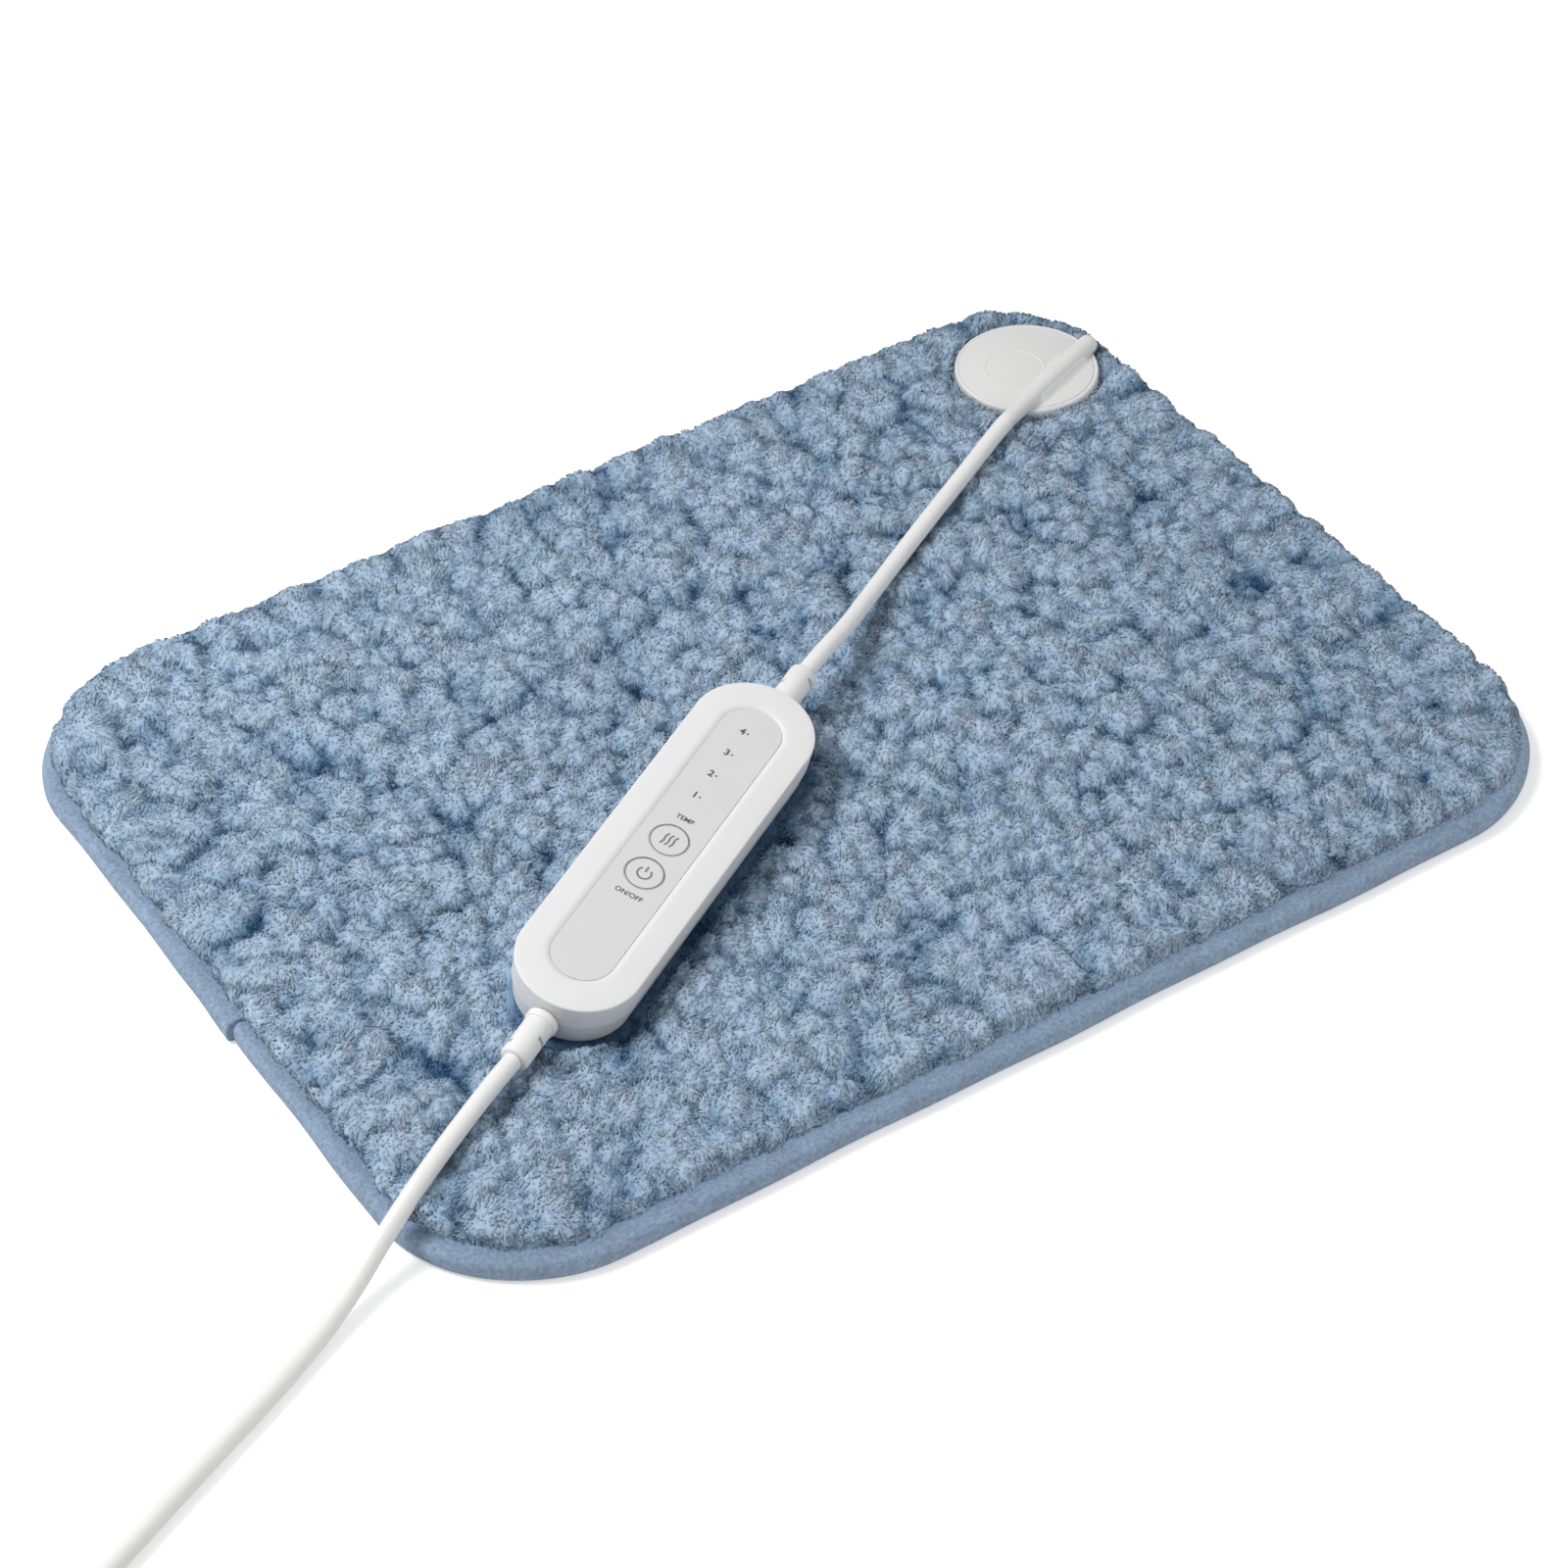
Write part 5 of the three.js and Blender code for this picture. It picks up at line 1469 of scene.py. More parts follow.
@dataclass(frozen=True)
class Controller:
    """The flat white controller that lies tilted on the pile."""

    x: float = -69.2
    y: float = -36.4
    lift: float = 14.2
    turn: float = 29
    tilt: float = 12
    pitch: float = -2
    length: float = 142
    width: float = 38
    parting: float = 10
    parting_draft: float = 0.3
    parting_gap: float = 0.02
    base_draft: float = 1.4
    base_round: float = 3.6
    wall: float = 2
    floor: float = 2
    rim: float = 18.35
    rim_round: float = 0.5
    top: float = 18.8
    crown_inset: float = 4.7
    panel_length: float = 120
    panel_width: float = 19.2
    panel_bottom: float = 17.9
    panel_top: float = 18.6
    panel_edge: float = 0.12
    pocket_floor: float = 17.6
    pocket_slope: float = 1.5
    pocket_gap: float = 0.06
    ceiling: float = 16.2
    well_floor: float = 16.9
    button_gap: float = 0.16
    button_radius: float = 6
    button_bottom: float = 17.75
    stem_radius: float = 1.8
    stem_bottom: float = 15.1
    power_at: float = -15
    temperature_at: float = 0
    lights: tuple[float, ...] = (19.5, 29.5, 39.5, 49.5)
    light_across: float = 0.4
    light_hole: float = 0.4
    guide_width: float = 2.6
    guide_bottom: float = 12.3
    guide_thickness: float = 1.2
    screw_places: tuple[Pair, ...] = ((50, 13), (-50, 13), (-50, -13), (50, -13))
    screw_well: float = 2.5
    screw_depth: float = 1.6

    @property
    def place(self) -> Matrix:
        """Its frame on the pad: along its length, across it and up from its underside."""
        turned = spin(self.turn) @ spin(self.pitch, "Y") @ spin(self.tilt, "X")
        return shift(self.x, self.y, self.lift) @ turned

    @property
    def _shell(self) -> Outline:
        """The controller seen from above."""
        return Outline(self.length, self.width, self.width / 2)

    @property
    def _panel(self) -> Outline:
        """The panel seen from above."""
        return Outline(self.panel_length, self.panel_width, self.panel_width / 2)

    def _rings(self, outline: Outline, profile: Sequence[Pair]) -> list[list[Point]]:
        """A ring at the inset and height of each point of a profile."""
        stations = outline.stations(24)
        return [outline.ring(stations, inset, height) for inset, height in profile]

    def _bottom_shell(self) -> None:
        """Makes the lower shell, with a rounded base and four screw wells."""
        top = self.parting - self.parting_gap / 2
        reach, deep = self.base_draft + self.wall, self.screw_depth
        profile = [
            *arc((self.base_draft + self.base_round, self.base_round), self.base_round, 270, 180, 10),
            (self.parting_draft, top), (self.parting_draft + self.wall, top), (reach, self.base_round),
            (reach + 1, self.floor),
        ]
        well = [(0, -2), (self.screw_well, -2), (self.screw_well, deep), (0, deep)]
        wells = [
            Piece(f"screw_well_{order}", self.place).turn(well, 24, shift(*spot))
            for order, spot in enumerate(self.screw_places)
        ]
        Piece("controller_lower_shell", self.place).skin(self._rings(self._shell, profile)).finish(
            Slot.HOUSING, replaces=["controller_bottom_shell"], cuts=wells
        )

    def _top_shell(self) -> None:
        """Makes the upper shell, with a soft rim and a sloped edge round the panel."""
        bottom = self.parting + self.parting_gap / 2
        outer = [
            (self.wall + 1.2, self.ceiling), (self.wall, self.ceiling - 1.2),
            (self.wall + self.parting_draft, bottom), (self.parting_draft, bottom),
            (0.05, self.rim - self.rim_round - 1.2),
            *arc((self.rim_round, self.rim - self.rim_round), self.rim_round, 180, 98, 7),
            (2.6, self.rim + 0.18), (self.crown_inset, self.rim + 0.3), (7.0, self.rim + 0.4),
        ]
        pocket = [
            (-self.pocket_slope - 0.25, self.top), (-self.pocket_slope, self.top - 0.04),
            (-self.pocket_gap - 0.1, self.panel_top - 0.12), (-self.pocket_gap, self.panel_top - 0.25),
            (-self.pocket_gap, self.pocket_floor),
        ]
        rings = self._rings(self._shell, outer) + self._rings(self._panel, pocket)
        Piece("controller_upper_shell", self.place).skin(rings).finish(
            Slot.HOUSING, replaces=["controller_top_shell"],
            cuts=self._holes(self.well_floor, self.button_radius + 0.3, with_stems=True), sharp=50,
        )

    def _holes(self, floor: float, radius: float, with_stems: bool) -> list[Piece]:
        """Room for the buttons and the lights.

        Args:
            floor: how low the button wells go.
            radius: radius of the button wells.
            with_stems: whether a stem hole goes on through each well.

        Returns:
            The pieces to cut with.
        """
        high, low = self.top + 1, self.parting + 3
        stem, hole = self.stem_radius + 0.3, self.light_hole
        well = [(0, high), (radius, high), (radius, floor)]
        well += [(stem, floor), (stem, low), (0, low)] if with_stems else [(0, floor)]
        shaft = [(0, high), (hole, high), (hole, low), (0, low)]
        rooms = [(well, 64, shift(along)) for along in (self.power_at, self.temperature_at)]
        rooms += [(shaft, 24, shift(along, self.light_across)) for along in self.lights]
        return [Piece(f"room_{order}", self.place).turn(*room) for order, room in enumerate(rooms)]

    def _panel_film(self) -> None:
        """Makes the panel that the marks are printed on."""
        profile = [
            (self.panel_edge, self.panel_bottom), (0, self.panel_bottom + self.panel_edge),
            (0, self.panel_top - self.panel_edge), (self.panel_edge, self.panel_top),
        ]
        Piece("control_panel_film", self.place).skin(self._rings(self._panel, profile)).finish(
            Slot.PANEL, replaces=["control_panel"],
            cuts=self._holes(
                self.panel_bottom - 1, self.button_radius + self.button_gap, with_stems=False
            ),
        )

    def _button(self, name: str, along: float, body: Body, node: str) -> None:
        """Makes one round button with its stem.

        Args:
            name: what the button is called.
            along: its place along the panel.
            body: the body that it rides on.
            node: the CAD node that it stands for.
        """
        radius, edge = self.button_radius, 0.12
        profile = [
            (0, self.stem_bottom), (self.stem_radius - 0.2, self.stem_bottom),
            (self.stem_radius, self.stem_bottom + 0.2), (self.stem_radius, self.button_bottom),
            (radius - edge, self.button_bottom), (radius, self.button_bottom + edge),
            (radius, self.panel_top - edge), (radius - edge, self.panel_top), (0, self.panel_top),
        ]
        Piece(name, self.place).turn(profile, 96, shift(along)).finish(Slot.PANEL, body, replaces=[node])

    def _light_guide(self) -> None:
        """Makes the clear bar whose pins carry the light up to the panel."""
        first, last = self.lights[0], self.lights[-1]
        top = self.guide_bottom + self.guide_thickness
        piece = Piece("light_guide_bar", self.place).block(
            (last - first + self.guide_width * 1.5, self.guide_width, self.guide_thickness),
            ((first + last) / 2, self.light_across, self.guide_bottom + self.guide_thickness / 2), 0.2,
        )
        radius = self.light_hole - 0.04
        profile = [(0, top - 0.1), (radius, top - 0.1), (radius, self.panel_top), (0, self.panel_top)]
        for along in self.lights:
            piece.turn(profile, 24, shift(along, self.light_across))
        piece.finish(Slot.GUIDE, replaces=["light_guide"])

    def build(self) -> None:
        """Makes the shells, the panel, the buttons and the light guide."""
        self._bottom_shell()
        self._top_shell()
        self._panel_film()
        self._light_guide()
        self._button("power_key_cap", self.power_at, Body.POWER_KEY, "power_button")
        self._button(
            "temperature_key_cap", self.temperature_at, Body.TEMPERATURE_KEY, "temperature_button",
        )


@dataclass(frozen=True)
class StrainRelief:
    """The slotted rubber sleeve that a lead leaves the controller through."""

    controller: Controller
    axis: float = 10
    length: float = 17
    start: float = 71.3
    inner_start: float = 65.1
    lip: float = 4.9
    lip_length: float = 2.7
    radius: float = 4.4
    tip: float = 3.7
    neck: float = 3.4
    flange: float = 4.6
    flange_length: float = 2
    slot_width: float = 1.3
    slot_depth: float = 1.6
    slot_places: tuple[float, ...] = (5.6, 10.6)
    span: Pair = (70, 89)

    def line(self, turned: bool) -> list[Vector]:
        """The sleeve's middle, at either end of the controller."""
        sign = -1 if turned else 1
        return [self.controller.place @ Vector((sign * along, 0, self.axis)) for along in self.span]

    def build(self, name: str, node: str, turned: bool) -> None:
        """Makes one sleeve.

        Args:
            name: what the sleeve is called.
            node: the CAD node that it stands for.
            turned: whether it sits at the far end of the controller.
        """
        end = self.start + self.length
        lip_end = self.start + self.lip_length
        place = self.controller.place @ spin(180 if turned else 0)
        lay = shift(z=self.axis) @ spin(90, "Y")
        profile = [
            (0, self.inner_start), (self.flange, self.inner_start),
            (self.flange, self.inner_start + self.flange_length),
            (self.neck, self.inner_start + self.flange_length), (self.neck, self.start),
            (self.lip - 0.35, self.start), (self.lip, self.start + 0.35), (self.lip, lip_end - 0.5),
            (self.lip - 0.15, lip_end - 0.15), (self.radius, lip_end), (self.radius, end - 0.9),
            (self.radius - 0.25, end - 0.35), (self.tip, end), (0, end),
        ]
        deep, slots = self.slot_depth + 2, []
        for side, along in zip((1, -1), self.slot_places):
            centre = (lip_end + along, side * (self.radius - self.slot_depth + deep / 2), self.axis)
            slot = Piece(f"{name}_slot_{along}", place)
            slots.append(slot.block((self.slot_width, deep, 2 * self.lip), centre))
        Piece(name, place).turn(profile, 48, lay).finish(
            Slot.JACKET, replaces=[node], cuts=slots, sharp=40
        )


# What is printed on the panel


class Ink(Enum):
    """The greys of the print."""

    DARK = Moulded("print_dark", (0.1, 0.1, 0.105), 0.6, clouding=0.1)
    MIDDLE = Moulded("print_middle", (0.21, 0.21, 0.22), 0.6, clouding=0.1)


@dataclass(frozen=True)
class Print:
    """The marks on the panel, each a thin layer on its top."""

    controller: Controller
    thickness: float = 0.05
    sink: float = 0.02

    def _place(self, along: float, across: float) -> Matrix:
        """A place on the panel."""
        return shift(along, across, self.controller.panel_top - self.sink)

    def _ring(self, piece: Piece, place: Matrix, outer: float, line: float) -> None:
        """Adds a printed ring of an outer radius and a width."""
        high, inner = self.thickness, outer - line
        piece.turn([(outer, 0), (outer, high), (inner, high), (inner, 0), (outer, 0)], 96, place)

    def _stroke(self, piece: Piece, points: Sequence[Pair], line: float, place: Matrix) -> None:
        """Adds a printed line of even width.

        Args:
            piece: the piece to add it to.
            points: the line's middle.
            line: how wide it is.
            place: where it goes.
        """
        way = np.gradient(np.array(points, float), axis=0)
        way /= lengths(way)
        side = np.stack([-way[:, 1], way[:, 0]], 1) * line / 2
        rings = []
        for (x, y), (over_x, over_y) in zip(points, side):
            corners = [(over_x, over_y, 0), (-over_x, -over_y, 0)]
            high = [(-over_x, -over_y, self.thickness), (over_x, over_y, self.thickness)]
            rings.append([tuple(place @ Vector((x + a, y + b, c))) for a, b, c in corners + high])
        piece.skin(rings)

    def _words(self, name: str, words: str, height: float, at: Pair, bold: float) -> None:
        """Prints letters or a number.

        Args:
            name: what the piece is called.
            words: what it says.
            height: how tall its letters are.
            at: its middle, along and across the panel.
            bold: how much the strokes are widened.
        """
        font = bpy.data.curves.new(name, "FONT")
        font.body = words
        font.size = height / 0.7
        font.align_x = font.align_y = "CENTER"
        font.extrude = self.thickness / 2
        font.offset = bold
        font.resolution_u = 6
        letters = link(f"{name}_letters", font)
        flat = letters.evaluated_get(bpy.context.evaluated_depsgraph_get())
        data = bpy.data.meshes.new_from_object(flat)
        bpy.data.objects.remove(letters)
        piece = Piece(name, self.controller.place)
        piece.mesh.from_mesh(data)
        bpy.data.meshes.remove(data)
        bmesh.ops.remove_doubles(piece.mesh, verts=piece.mesh.verts, dist=1e-4)
        lay = self._place(*at) @ spin(-90) @ shift(z=self.thickness / 2)
        bmesh.ops.transform(piece.mesh, matrix=lay, verts=piece.mesh.verts)
        piece.finish(Slot.DARK, coat=Ink.DARK.value)

    def _temperature_mark(self) -> None:
        """Prints the ring and the three heat waves on the temperature button."""
        along = self.controller.temperature_at
        piece = Piece("temperature_mark", self.controller.place)
        self._ring(piece, self._place(along, 0), 5.85, 0.36)
        for across in (-1.5, 0, 1.5):
            points = [
                (2.3 * share, across - 0.35 * share + 0.2 * math.sin(share * math.pi * 1.2))
                for share in np.linspace(-1, 1, 25)
            ]
            self._stroke(piece, points, 0.62, self._place(along, 0))
        piece.finish(Slot.DARK, Body.TEMPERATURE_KEY, coat=Ink.MIDDLE.value)

    def _power_mark(self) -> None:
        """Prints the ring and the sign of a switch on the power button."""
        along = self.controller.power_at
        place = self._place(along, 0)
        piece = Piece("power_mark", self.controller.place)
        self._ring(piece, place, 5.85, 0.42)
        self._stroke(piece, arc((0, 0), 2.1, 40, 320, 40), 0.6, place)
        self._stroke(piece, [(0.5, 0), (1.6, 0), (2.8, 0)], 0.6, place)
        piece.finish(Slot.DARK, Body.POWER_KEY, coat=Ink.MIDDLE.value)

    def build(self) -> None:
        """Prints all marks."""
        for order, along in enumerate(self.controller.lights, 1):
            self._words(f"step_number_{order}", str(order), 2.4, (along, 2.1), bold=0.09)
        self._words("temperature_word", "TEMP", 1.7, (9.6, 0), bold=0.05)
        self._words("power_word", "ON/OFF", 1.7, (-24.4, 0), bold=0.05)
        self._temperature_mark()
        self._power_mark()


# The connector on its socket


@dataclass(frozen=True)
class Connector:
    """The round connector, with the sleeve of its lead lying across it."""

    COAT = Moulded("connector_white", (0.7, 0.7, 0.695), clouding=0.015)

    x: float = 164.6
    y: float = 103.2
    turn: float = 22
    radius: float = 24.2
    base_bottom: float = 11.3
    base_top: float = 12.4
    cap_bottom: float = 12.43
    top: float = 17.2
    wall: float = 2
    edge: float = 1.2
    step_at: float = 22.3
    step_width: float = 0.5
    step_depth: float = 0.35
    emboss_at: Pair = (-3, 3)
    emboss_radius: float = 10
    emboss_width: float = 0.9
    emboss_height: float = 0.16
    spine_across: float = -11
    spine_height: float = 18.2
    spine_start: float = -30.6
    spine_end: float = 23.9
    spine_thin: float = 2.75
    spine_thick: float = 3.4
    pin_room: float = 1.8
    pin_places: tuple[Pair, ...] = ((-5, 3), (5, 3))
    fillet_width: float = 2.6
    fillet_end: float = 16.5
    fillet_run: float = 4

    @property
    def place(self) -> Matrix:
        """Its frame on the pad."""
        return shift(self.x, self.y) @ spin(self.turn)

    @property
    def lead_entry(self) -> Vector:
        """Where the lead enters the sleeve."""
        return self.place @ Vector((self.spine_start - 0.3, self.spine_across, self.spine_height))

    def sleeve_line(self) -> list[Vector]:
        """The sleeve's middle, from end to end."""
        ends = (self.spine_start, self.spine_end)
        return [self.place @ Vector((along, self.spine_across, self.spine_height)) for along in ends]

    def spine_radius(self, along: float) -> float:
        """Radius of the sleeve at a place along it."""
        share = (along - self.spine_start) / (self.spine_end - self.spine_thick - self.spine_start)
        return self.spine_thin + (self.spine_thick - self.spine_thin) * smooth_step(share)

    def _cap(self) -> None:
        """Makes the cap, with a fine step inside its rim."""
        inner = self.radius - self.wall
        ceiling = self.top - self.wall
        low = self.top - self.edge
        step = self.step_at
        profile = [
            (0, ceiling), (inner, ceiling), (inner, self.cap_bottom), (self.radius - 0.3, self.cap_bottom),
            (self.radius, self.cap_bottom + 0.3),
            *arc((self.radius - self.edge, low), self.edge, 0, 62, 7),
            (step + self.step_width, self.top - self.step_depth), (step + 0.1, self.top - self.step_depth),
            (step, self.top - 0.04), (step - 0.15, self.top), (0, self.top),
        ]
        Piece("connector_cap_smooth", self.place).turn(profile, 160).finish(
            Slot.HOUSING, Body.CONNECTOR, ["connector_cap"], sharp=40, coat=self.COAT
        )

    def _base(self) -> None:
        """Makes the base plate under the cap."""
        profile = [
            (0, self.base_bottom), (self.radius - 0.6, self.base_bottom),
            (self.radius - 0.1, self.base_bottom + 0.5), (self.radius, self.base_top - 0.3),
            (self.radius - 0.2, self.base_top), (0, self.base_top),
        ]
        room, low, high = self.pin_room, self.base_bottom - 2.3, self.base_top + 1.6
        bore = [(0, low), (room, low), (room, high), (0, high)]
        holes = [
            Piece(f"pin_room_{order}", self.place).turn(bore, 32, shift(*spot))
            for order, spot in enumerate(self.pin_places)
        ]
        Piece("connector_base_smooth", self.place).turn(profile, 160).finish(
            Slot.HOUSING, Body.CONNECTOR, ["connector_base"], holes, coat=self.COAT
        )

    def _emboss(self) -> None:
        """Makes the faint raised ring on the cap."""
        half, radius, height = self.emboss_width / 2, self.emboss_radius, self.emboss_height
        low = self.top - 0.3
        profile = [
            (radius + half, low), (radius + half, self.top), (radius + half / 2, self.top + height * 0.8),
            (radius, self.top + height), (radius - half / 2, self.top + height * 0.8),
            (radius - half, self.top), (radius - half, low), (radius + half, low),
        ]
        Piece("connector_ring", self.place).turn(profile, 128, shift(*self.emboss_at)).finish(
            Slot.HOUSING, Body.CONNECTOR, sharp=60, coat=self.COAT
        )

    def _spine(self) -> None:
        """Makes the sleeve: thin where the lead enters it, thick and round at its end."""
        flat_end = self.spine_end - self.spine_thick
        run = np.linspace(self.spine_start + 0.25, flat_end, 24)
        profile = [
            (0, self.spine_start), (self.spine_thin - 0.25, self.spine_start),
            *((self.spine_radius(along), along) for along in run[:-1]),
            *arc((0, flat_end), self.spine_thick, 0, 90, 10)[:-1], (0, self.spine_end),
        ]
        lay = shift(0, self.spine_across, self.spine_height) @ spin(90, "Y")
        Piece("connector_sleeve", self.place).turn(profile, 48, lay).finish(
            Slot.HOUSING, Body.CONNECTOR, ["connector_strain_relief"], sharp=50, coat=self.COAT,
        )

    def _fillet(self) -> None:
        """Makes the soft flare between the sleeve and the cap."""
        rings = []
        low, rise = self.top - 0.6, self.spine_height - self.top
        for along in np.linspace(-self.fillet_end, self.fillet_end, 34):
            share = smooth_step((self.fillet_end - abs(along)) / self.fillet_run)
            width = max(self.fillet_width * share, 0.05)
            touch = math.sqrt(self.spine_radius(along) ** 2 - rise**2)
            side = []
            for part in np.linspace(0, 1, 7):
                height = (1 - math.cos(part * QUARTER_TURN)) * width * 0.9
                side.append((touch + width * (1 - part), self.top - 0.02 + height))
            other = [(-across, height) for across, height in reversed(side)]
            section = [*side, *other, (-touch - width, low), (touch + width, low)]
            rings.append([(along, self.spine_across + across, height) for across, height in section])
        Piece("connector_sleeve_flare", self.place).skin(rings).finish(
            Slot.HOUSING, Body.CONNECTOR, sharp=70, coat=self.COAT
        )

    def build(self) -> None:
        """Makes the connector."""
        self._cap()
        self._base()
        self._emboss()
        self._spine()
        self._fillet()


# The leads


@dataclass(frozen=True)
class PadLead:
    """The short lead from the controller to the connector, lying on the pile."""

    controller: Controller
    connector: Connector
    diameter: float = 5.6
    tip: float = 88.6
    step: float = 1.6
    blend_from: float = 0.45
    middle: tuple[Point, ...] = (
        (14.7, 7.4, 27.35), (22.3, 11.4, 26.9), (30.8, 16.4, 25.3), (38.9, 21.9, 23.3), (47.2, 27.8, 21.4),
        (55.8, 33.6, 19.9), (64.6, 39.2, 19), (73.8, 44.7, 18.5), (84.1, 50.6, 18.4), (94.6, 56.4, 18.4),
        (105, 62.1, 18.4), (115, 67.6, 18.4), (124.2, 72.7, 18.4), (132.4, 77.3, 18.3),
    )

    def route(self) -> list[Vector]:
        """The lead's middle, from the controller's sleeve to the connector's."""
        start = self.controller.place @ Vector((self.tip, 0, self.controller.parting))
        return rounded_route([start, *self.middle, self.connector.lead_entry], self.step)

    def build(self) -> None:
        """Makes the lead."""
        route = self.route()
        angles = np.linspace(0, FULL_TURN, 24, endpoint=False)
        rings = []
        for order, middle in enumerate(route):
            before, after = route[max(order - 1, 0)], route[min(order + 1, len(route) - 1)]
            way = (after - before).normalized()
            side = way.cross(Vector((0, 0, 1))).normalized()
            up = side.cross(way)
            around = [(side * math.cos(a) + up * math.sin(a)) * self.diameter / 2 for a in angles]
            rings.append([tuple(middle + reach) for reach in around])
        piece = Piece("pad_lead").skin(rings)
        made = piece.finish(Slot.JACKET, replaces=["pad_cord"], sharp=60)
        made.parent = None
        del made["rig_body"]
        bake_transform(made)


@dataclass(frozen=True)
class MainsLead:
    """The long lead: off the pad, round the coil and on to the plug."""

    controller: Controller
    diameter: float = 5.6
    tip: float = 88.6
    step: float = 1.5
    coil_x: float = -341.2
    coil_y: float = -213.5
    coil_radius: float = 34
    coil_pitch: float = 7.2
    layer_height: float = 6.4
    coil_lift: float = 4.2
    layers: int = 4
    layer_turns: float = 1.959
    climb_turns: float = 0.5
    coil_start: float = 115.5
    steps_per_turn: int = 48
    plug_lift: float = 6.9
    free: tuple[Point, ...] = (
        (-151.5, -84.2, 21), (-161.4, -89, 20.1), (-171.6, -94.1, 18.9), (-180.8, -99.1, 18.1),
        (-189.6, -103.9, 16.9), (-197.4, -107.5, 14.2), (-205.2, -110.9, 10.7), (-213.9, -115.4, 7.2),
        (-223.5, -120.5, 4.8), (-234.3, -126, 3.4), (-246.2, -131.8, 3), (-260, -138.2, 3),
        (-275, -144.8, 3), (-291, -152, 3), (-307, -159.3, 3), (-322, -166.3, 3.1), (-335, -172.6, 3.5),
    )
    tail: tuple[Pair, ...] = (
        (5, 23.4), (12, 23.2), (20, 22.5), (28, 20.8), (36, 18), (44, 14.8), (52, 11.8), (60, 9.2),
        (67, 7.5), (74, 6.9),
    )

    def _coil(self) -> list[Vector]:
        """The coil: it spirals in and out in turn and climbs where it reverses.

        Returns:
            Its points in order.
        """
        turns = self.layers * self.layer_turns + (self.layers - 1) * self.climb_turns
        steps = round(turns * self.steps_per_turn)
        span = self.layer_turns + self.climb_turns
        points = []
        for step in range(steps + 1):
            turn = turns * step / steps
            layer = min(int(turn / span), self.layers - 1)
            within = turn - layer * span
            spiral = min(within, self.layer_turns)
            climb = smooth_step(max(within - self.layer_turns, 0) / self.climb_turns)
            inward = spiral if layer % 2 == 0 else self.layer_turns - spiral
            radius = self.coil_radius - self.coil_pitch * inward
            angle = math.radians(self.coil_start) + FULL_TURN * turn
            x, y = self.coil_x + radius * math.cos(angle), self.coil_y + radius * math.sin(angle)
            points.append(Vector((x, y, self.coil_lift + self.layer_height * (layer + climb))))
        return points

    def _tangent(self, point: Vector) -> Vector:
        """The way along the coil at a point of it."""
        return Vector((self.coil_y - point.y, point.x - self.coil_x, 0)).normalized()

    def way_out(self) -> tuple[Vector, Vector]:
        """Where the coil ends, and the way that the lead leaves it."""
        last = self._coil()[-1]
        return last, self._tangent(last)

    def plug_place(self) -> Matrix:
        """The plug's frame, along the lead from the mouth of its sleeve.

        Returns:
            Its place on the floor.
        """
        last, way = self.way_out()
        start = last + way * (self.diameter + 0.3 + self.tail[-1][0] + self.diameter + 0.3)
        return shift(start.x, start.y, self.plug_lift) @ spin(math.degrees(math.atan2(way.y, way.x)))

    def route(self) -> list[Vector]:
        """The lead's middle, from the controller's sleeve to the plug's.

        Returns:
            Its points in order.
        """
        coil = self._coil()
        enter = self._tangent(coil[0])
        last, way = self.way_out()
        tail = [
            Vector((*(last + way * (self.diameter + 0.3 + along)).xy, height))
            for along, height in self.tail
        ]
        end = Vector((*(tail[-1] + way * self.diameter).xy, self.plug_lift))
        start = self.controller.place @ Vector((-self.tip, 0, self.controller.parting))
        points = [start, *self.free, coil[0] - enter * 11, coil[0] - enter * 5.5, *coil, *tail, end]
        return rounded_route(points, self.step)

    def build(self, with_pieces: Sequence[Object]) -> None:
        """Makes the lead.

        Args:
            with_pieces: the plug, its pins and the tie; not used.
        """
        route = self.route()
        curve = bpy.data.curves.new("mains_lead", "CURVE")
        curve.dimensions = "3D"
        curve.bevel_depth = self.diameter / 2 * MM
        curve.bevel_resolution = 6
        curve.use_fill_caps = True
        curve.materials.append(painted(Slot.JACKET.value))
        line = curve.splines.new("POLY")
        line.points.add(len(route) - 1)
        for mark, point in zip(line.points, route):
            mark.co = (*(point * MM), 1)
        line.use_smooth = True
        made = link("mains_lead", curve)
        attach(made, Body.PAD.value)
        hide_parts("mains_cord", "mains_cord_coil", "mains_cord_tail")
        log.info("mains_lead: %.2f m", length_of(route) * MM)


@dataclass(frozen=True)
class CoilTie:
    """The flat strap that holds the coil together."""

    lead: MainsLead
    angle: float = -10
    width: float = 8
    thickness: float = 0.8
    gap: float = 1
    round: float = 2.4

    def build(self) -> Object:
        """Makes the strap.

        Returns:
            The strap.
        """
        lead = self.lead
        half = lead.diameter / 2
        near = lead.coil_radius - lead.coil_pitch * lead.layer_turns - half - self.gap
        far = lead.coil_radius + half + self.gap
        low = lead.coil_lift - half - 0.3
        high = lead.coil_lift + lead.layer_height * (lead.layers - 1) + half + self.gap
        middle = shift((near + far) / 2, 0, (low + high) / 2)
        place = shift(lead.coil_x, lead.coil_y) @ spin(self.angle) @ middle @ spin(90, "X")
        band = Outline(far - near, high - low, self.round)
        stations = band.stations(6, 4)
        edge = self.width / 2
        rings = [
            band.ring(stations, inset, side)
            for inset, side in (
                (0, -edge), (-self.thickness + 0.15, -edge), (-self.thickness, -edge + 0.15),
                (-self.thickness, edge - 0.15), (-self.thickness + 0.15, edge), (0, edge),
            )
        ]
        return Piece("coil_strap", place).skin(rings, closed=True).finish(Slot.DARK, replaces=["coil_tie"])


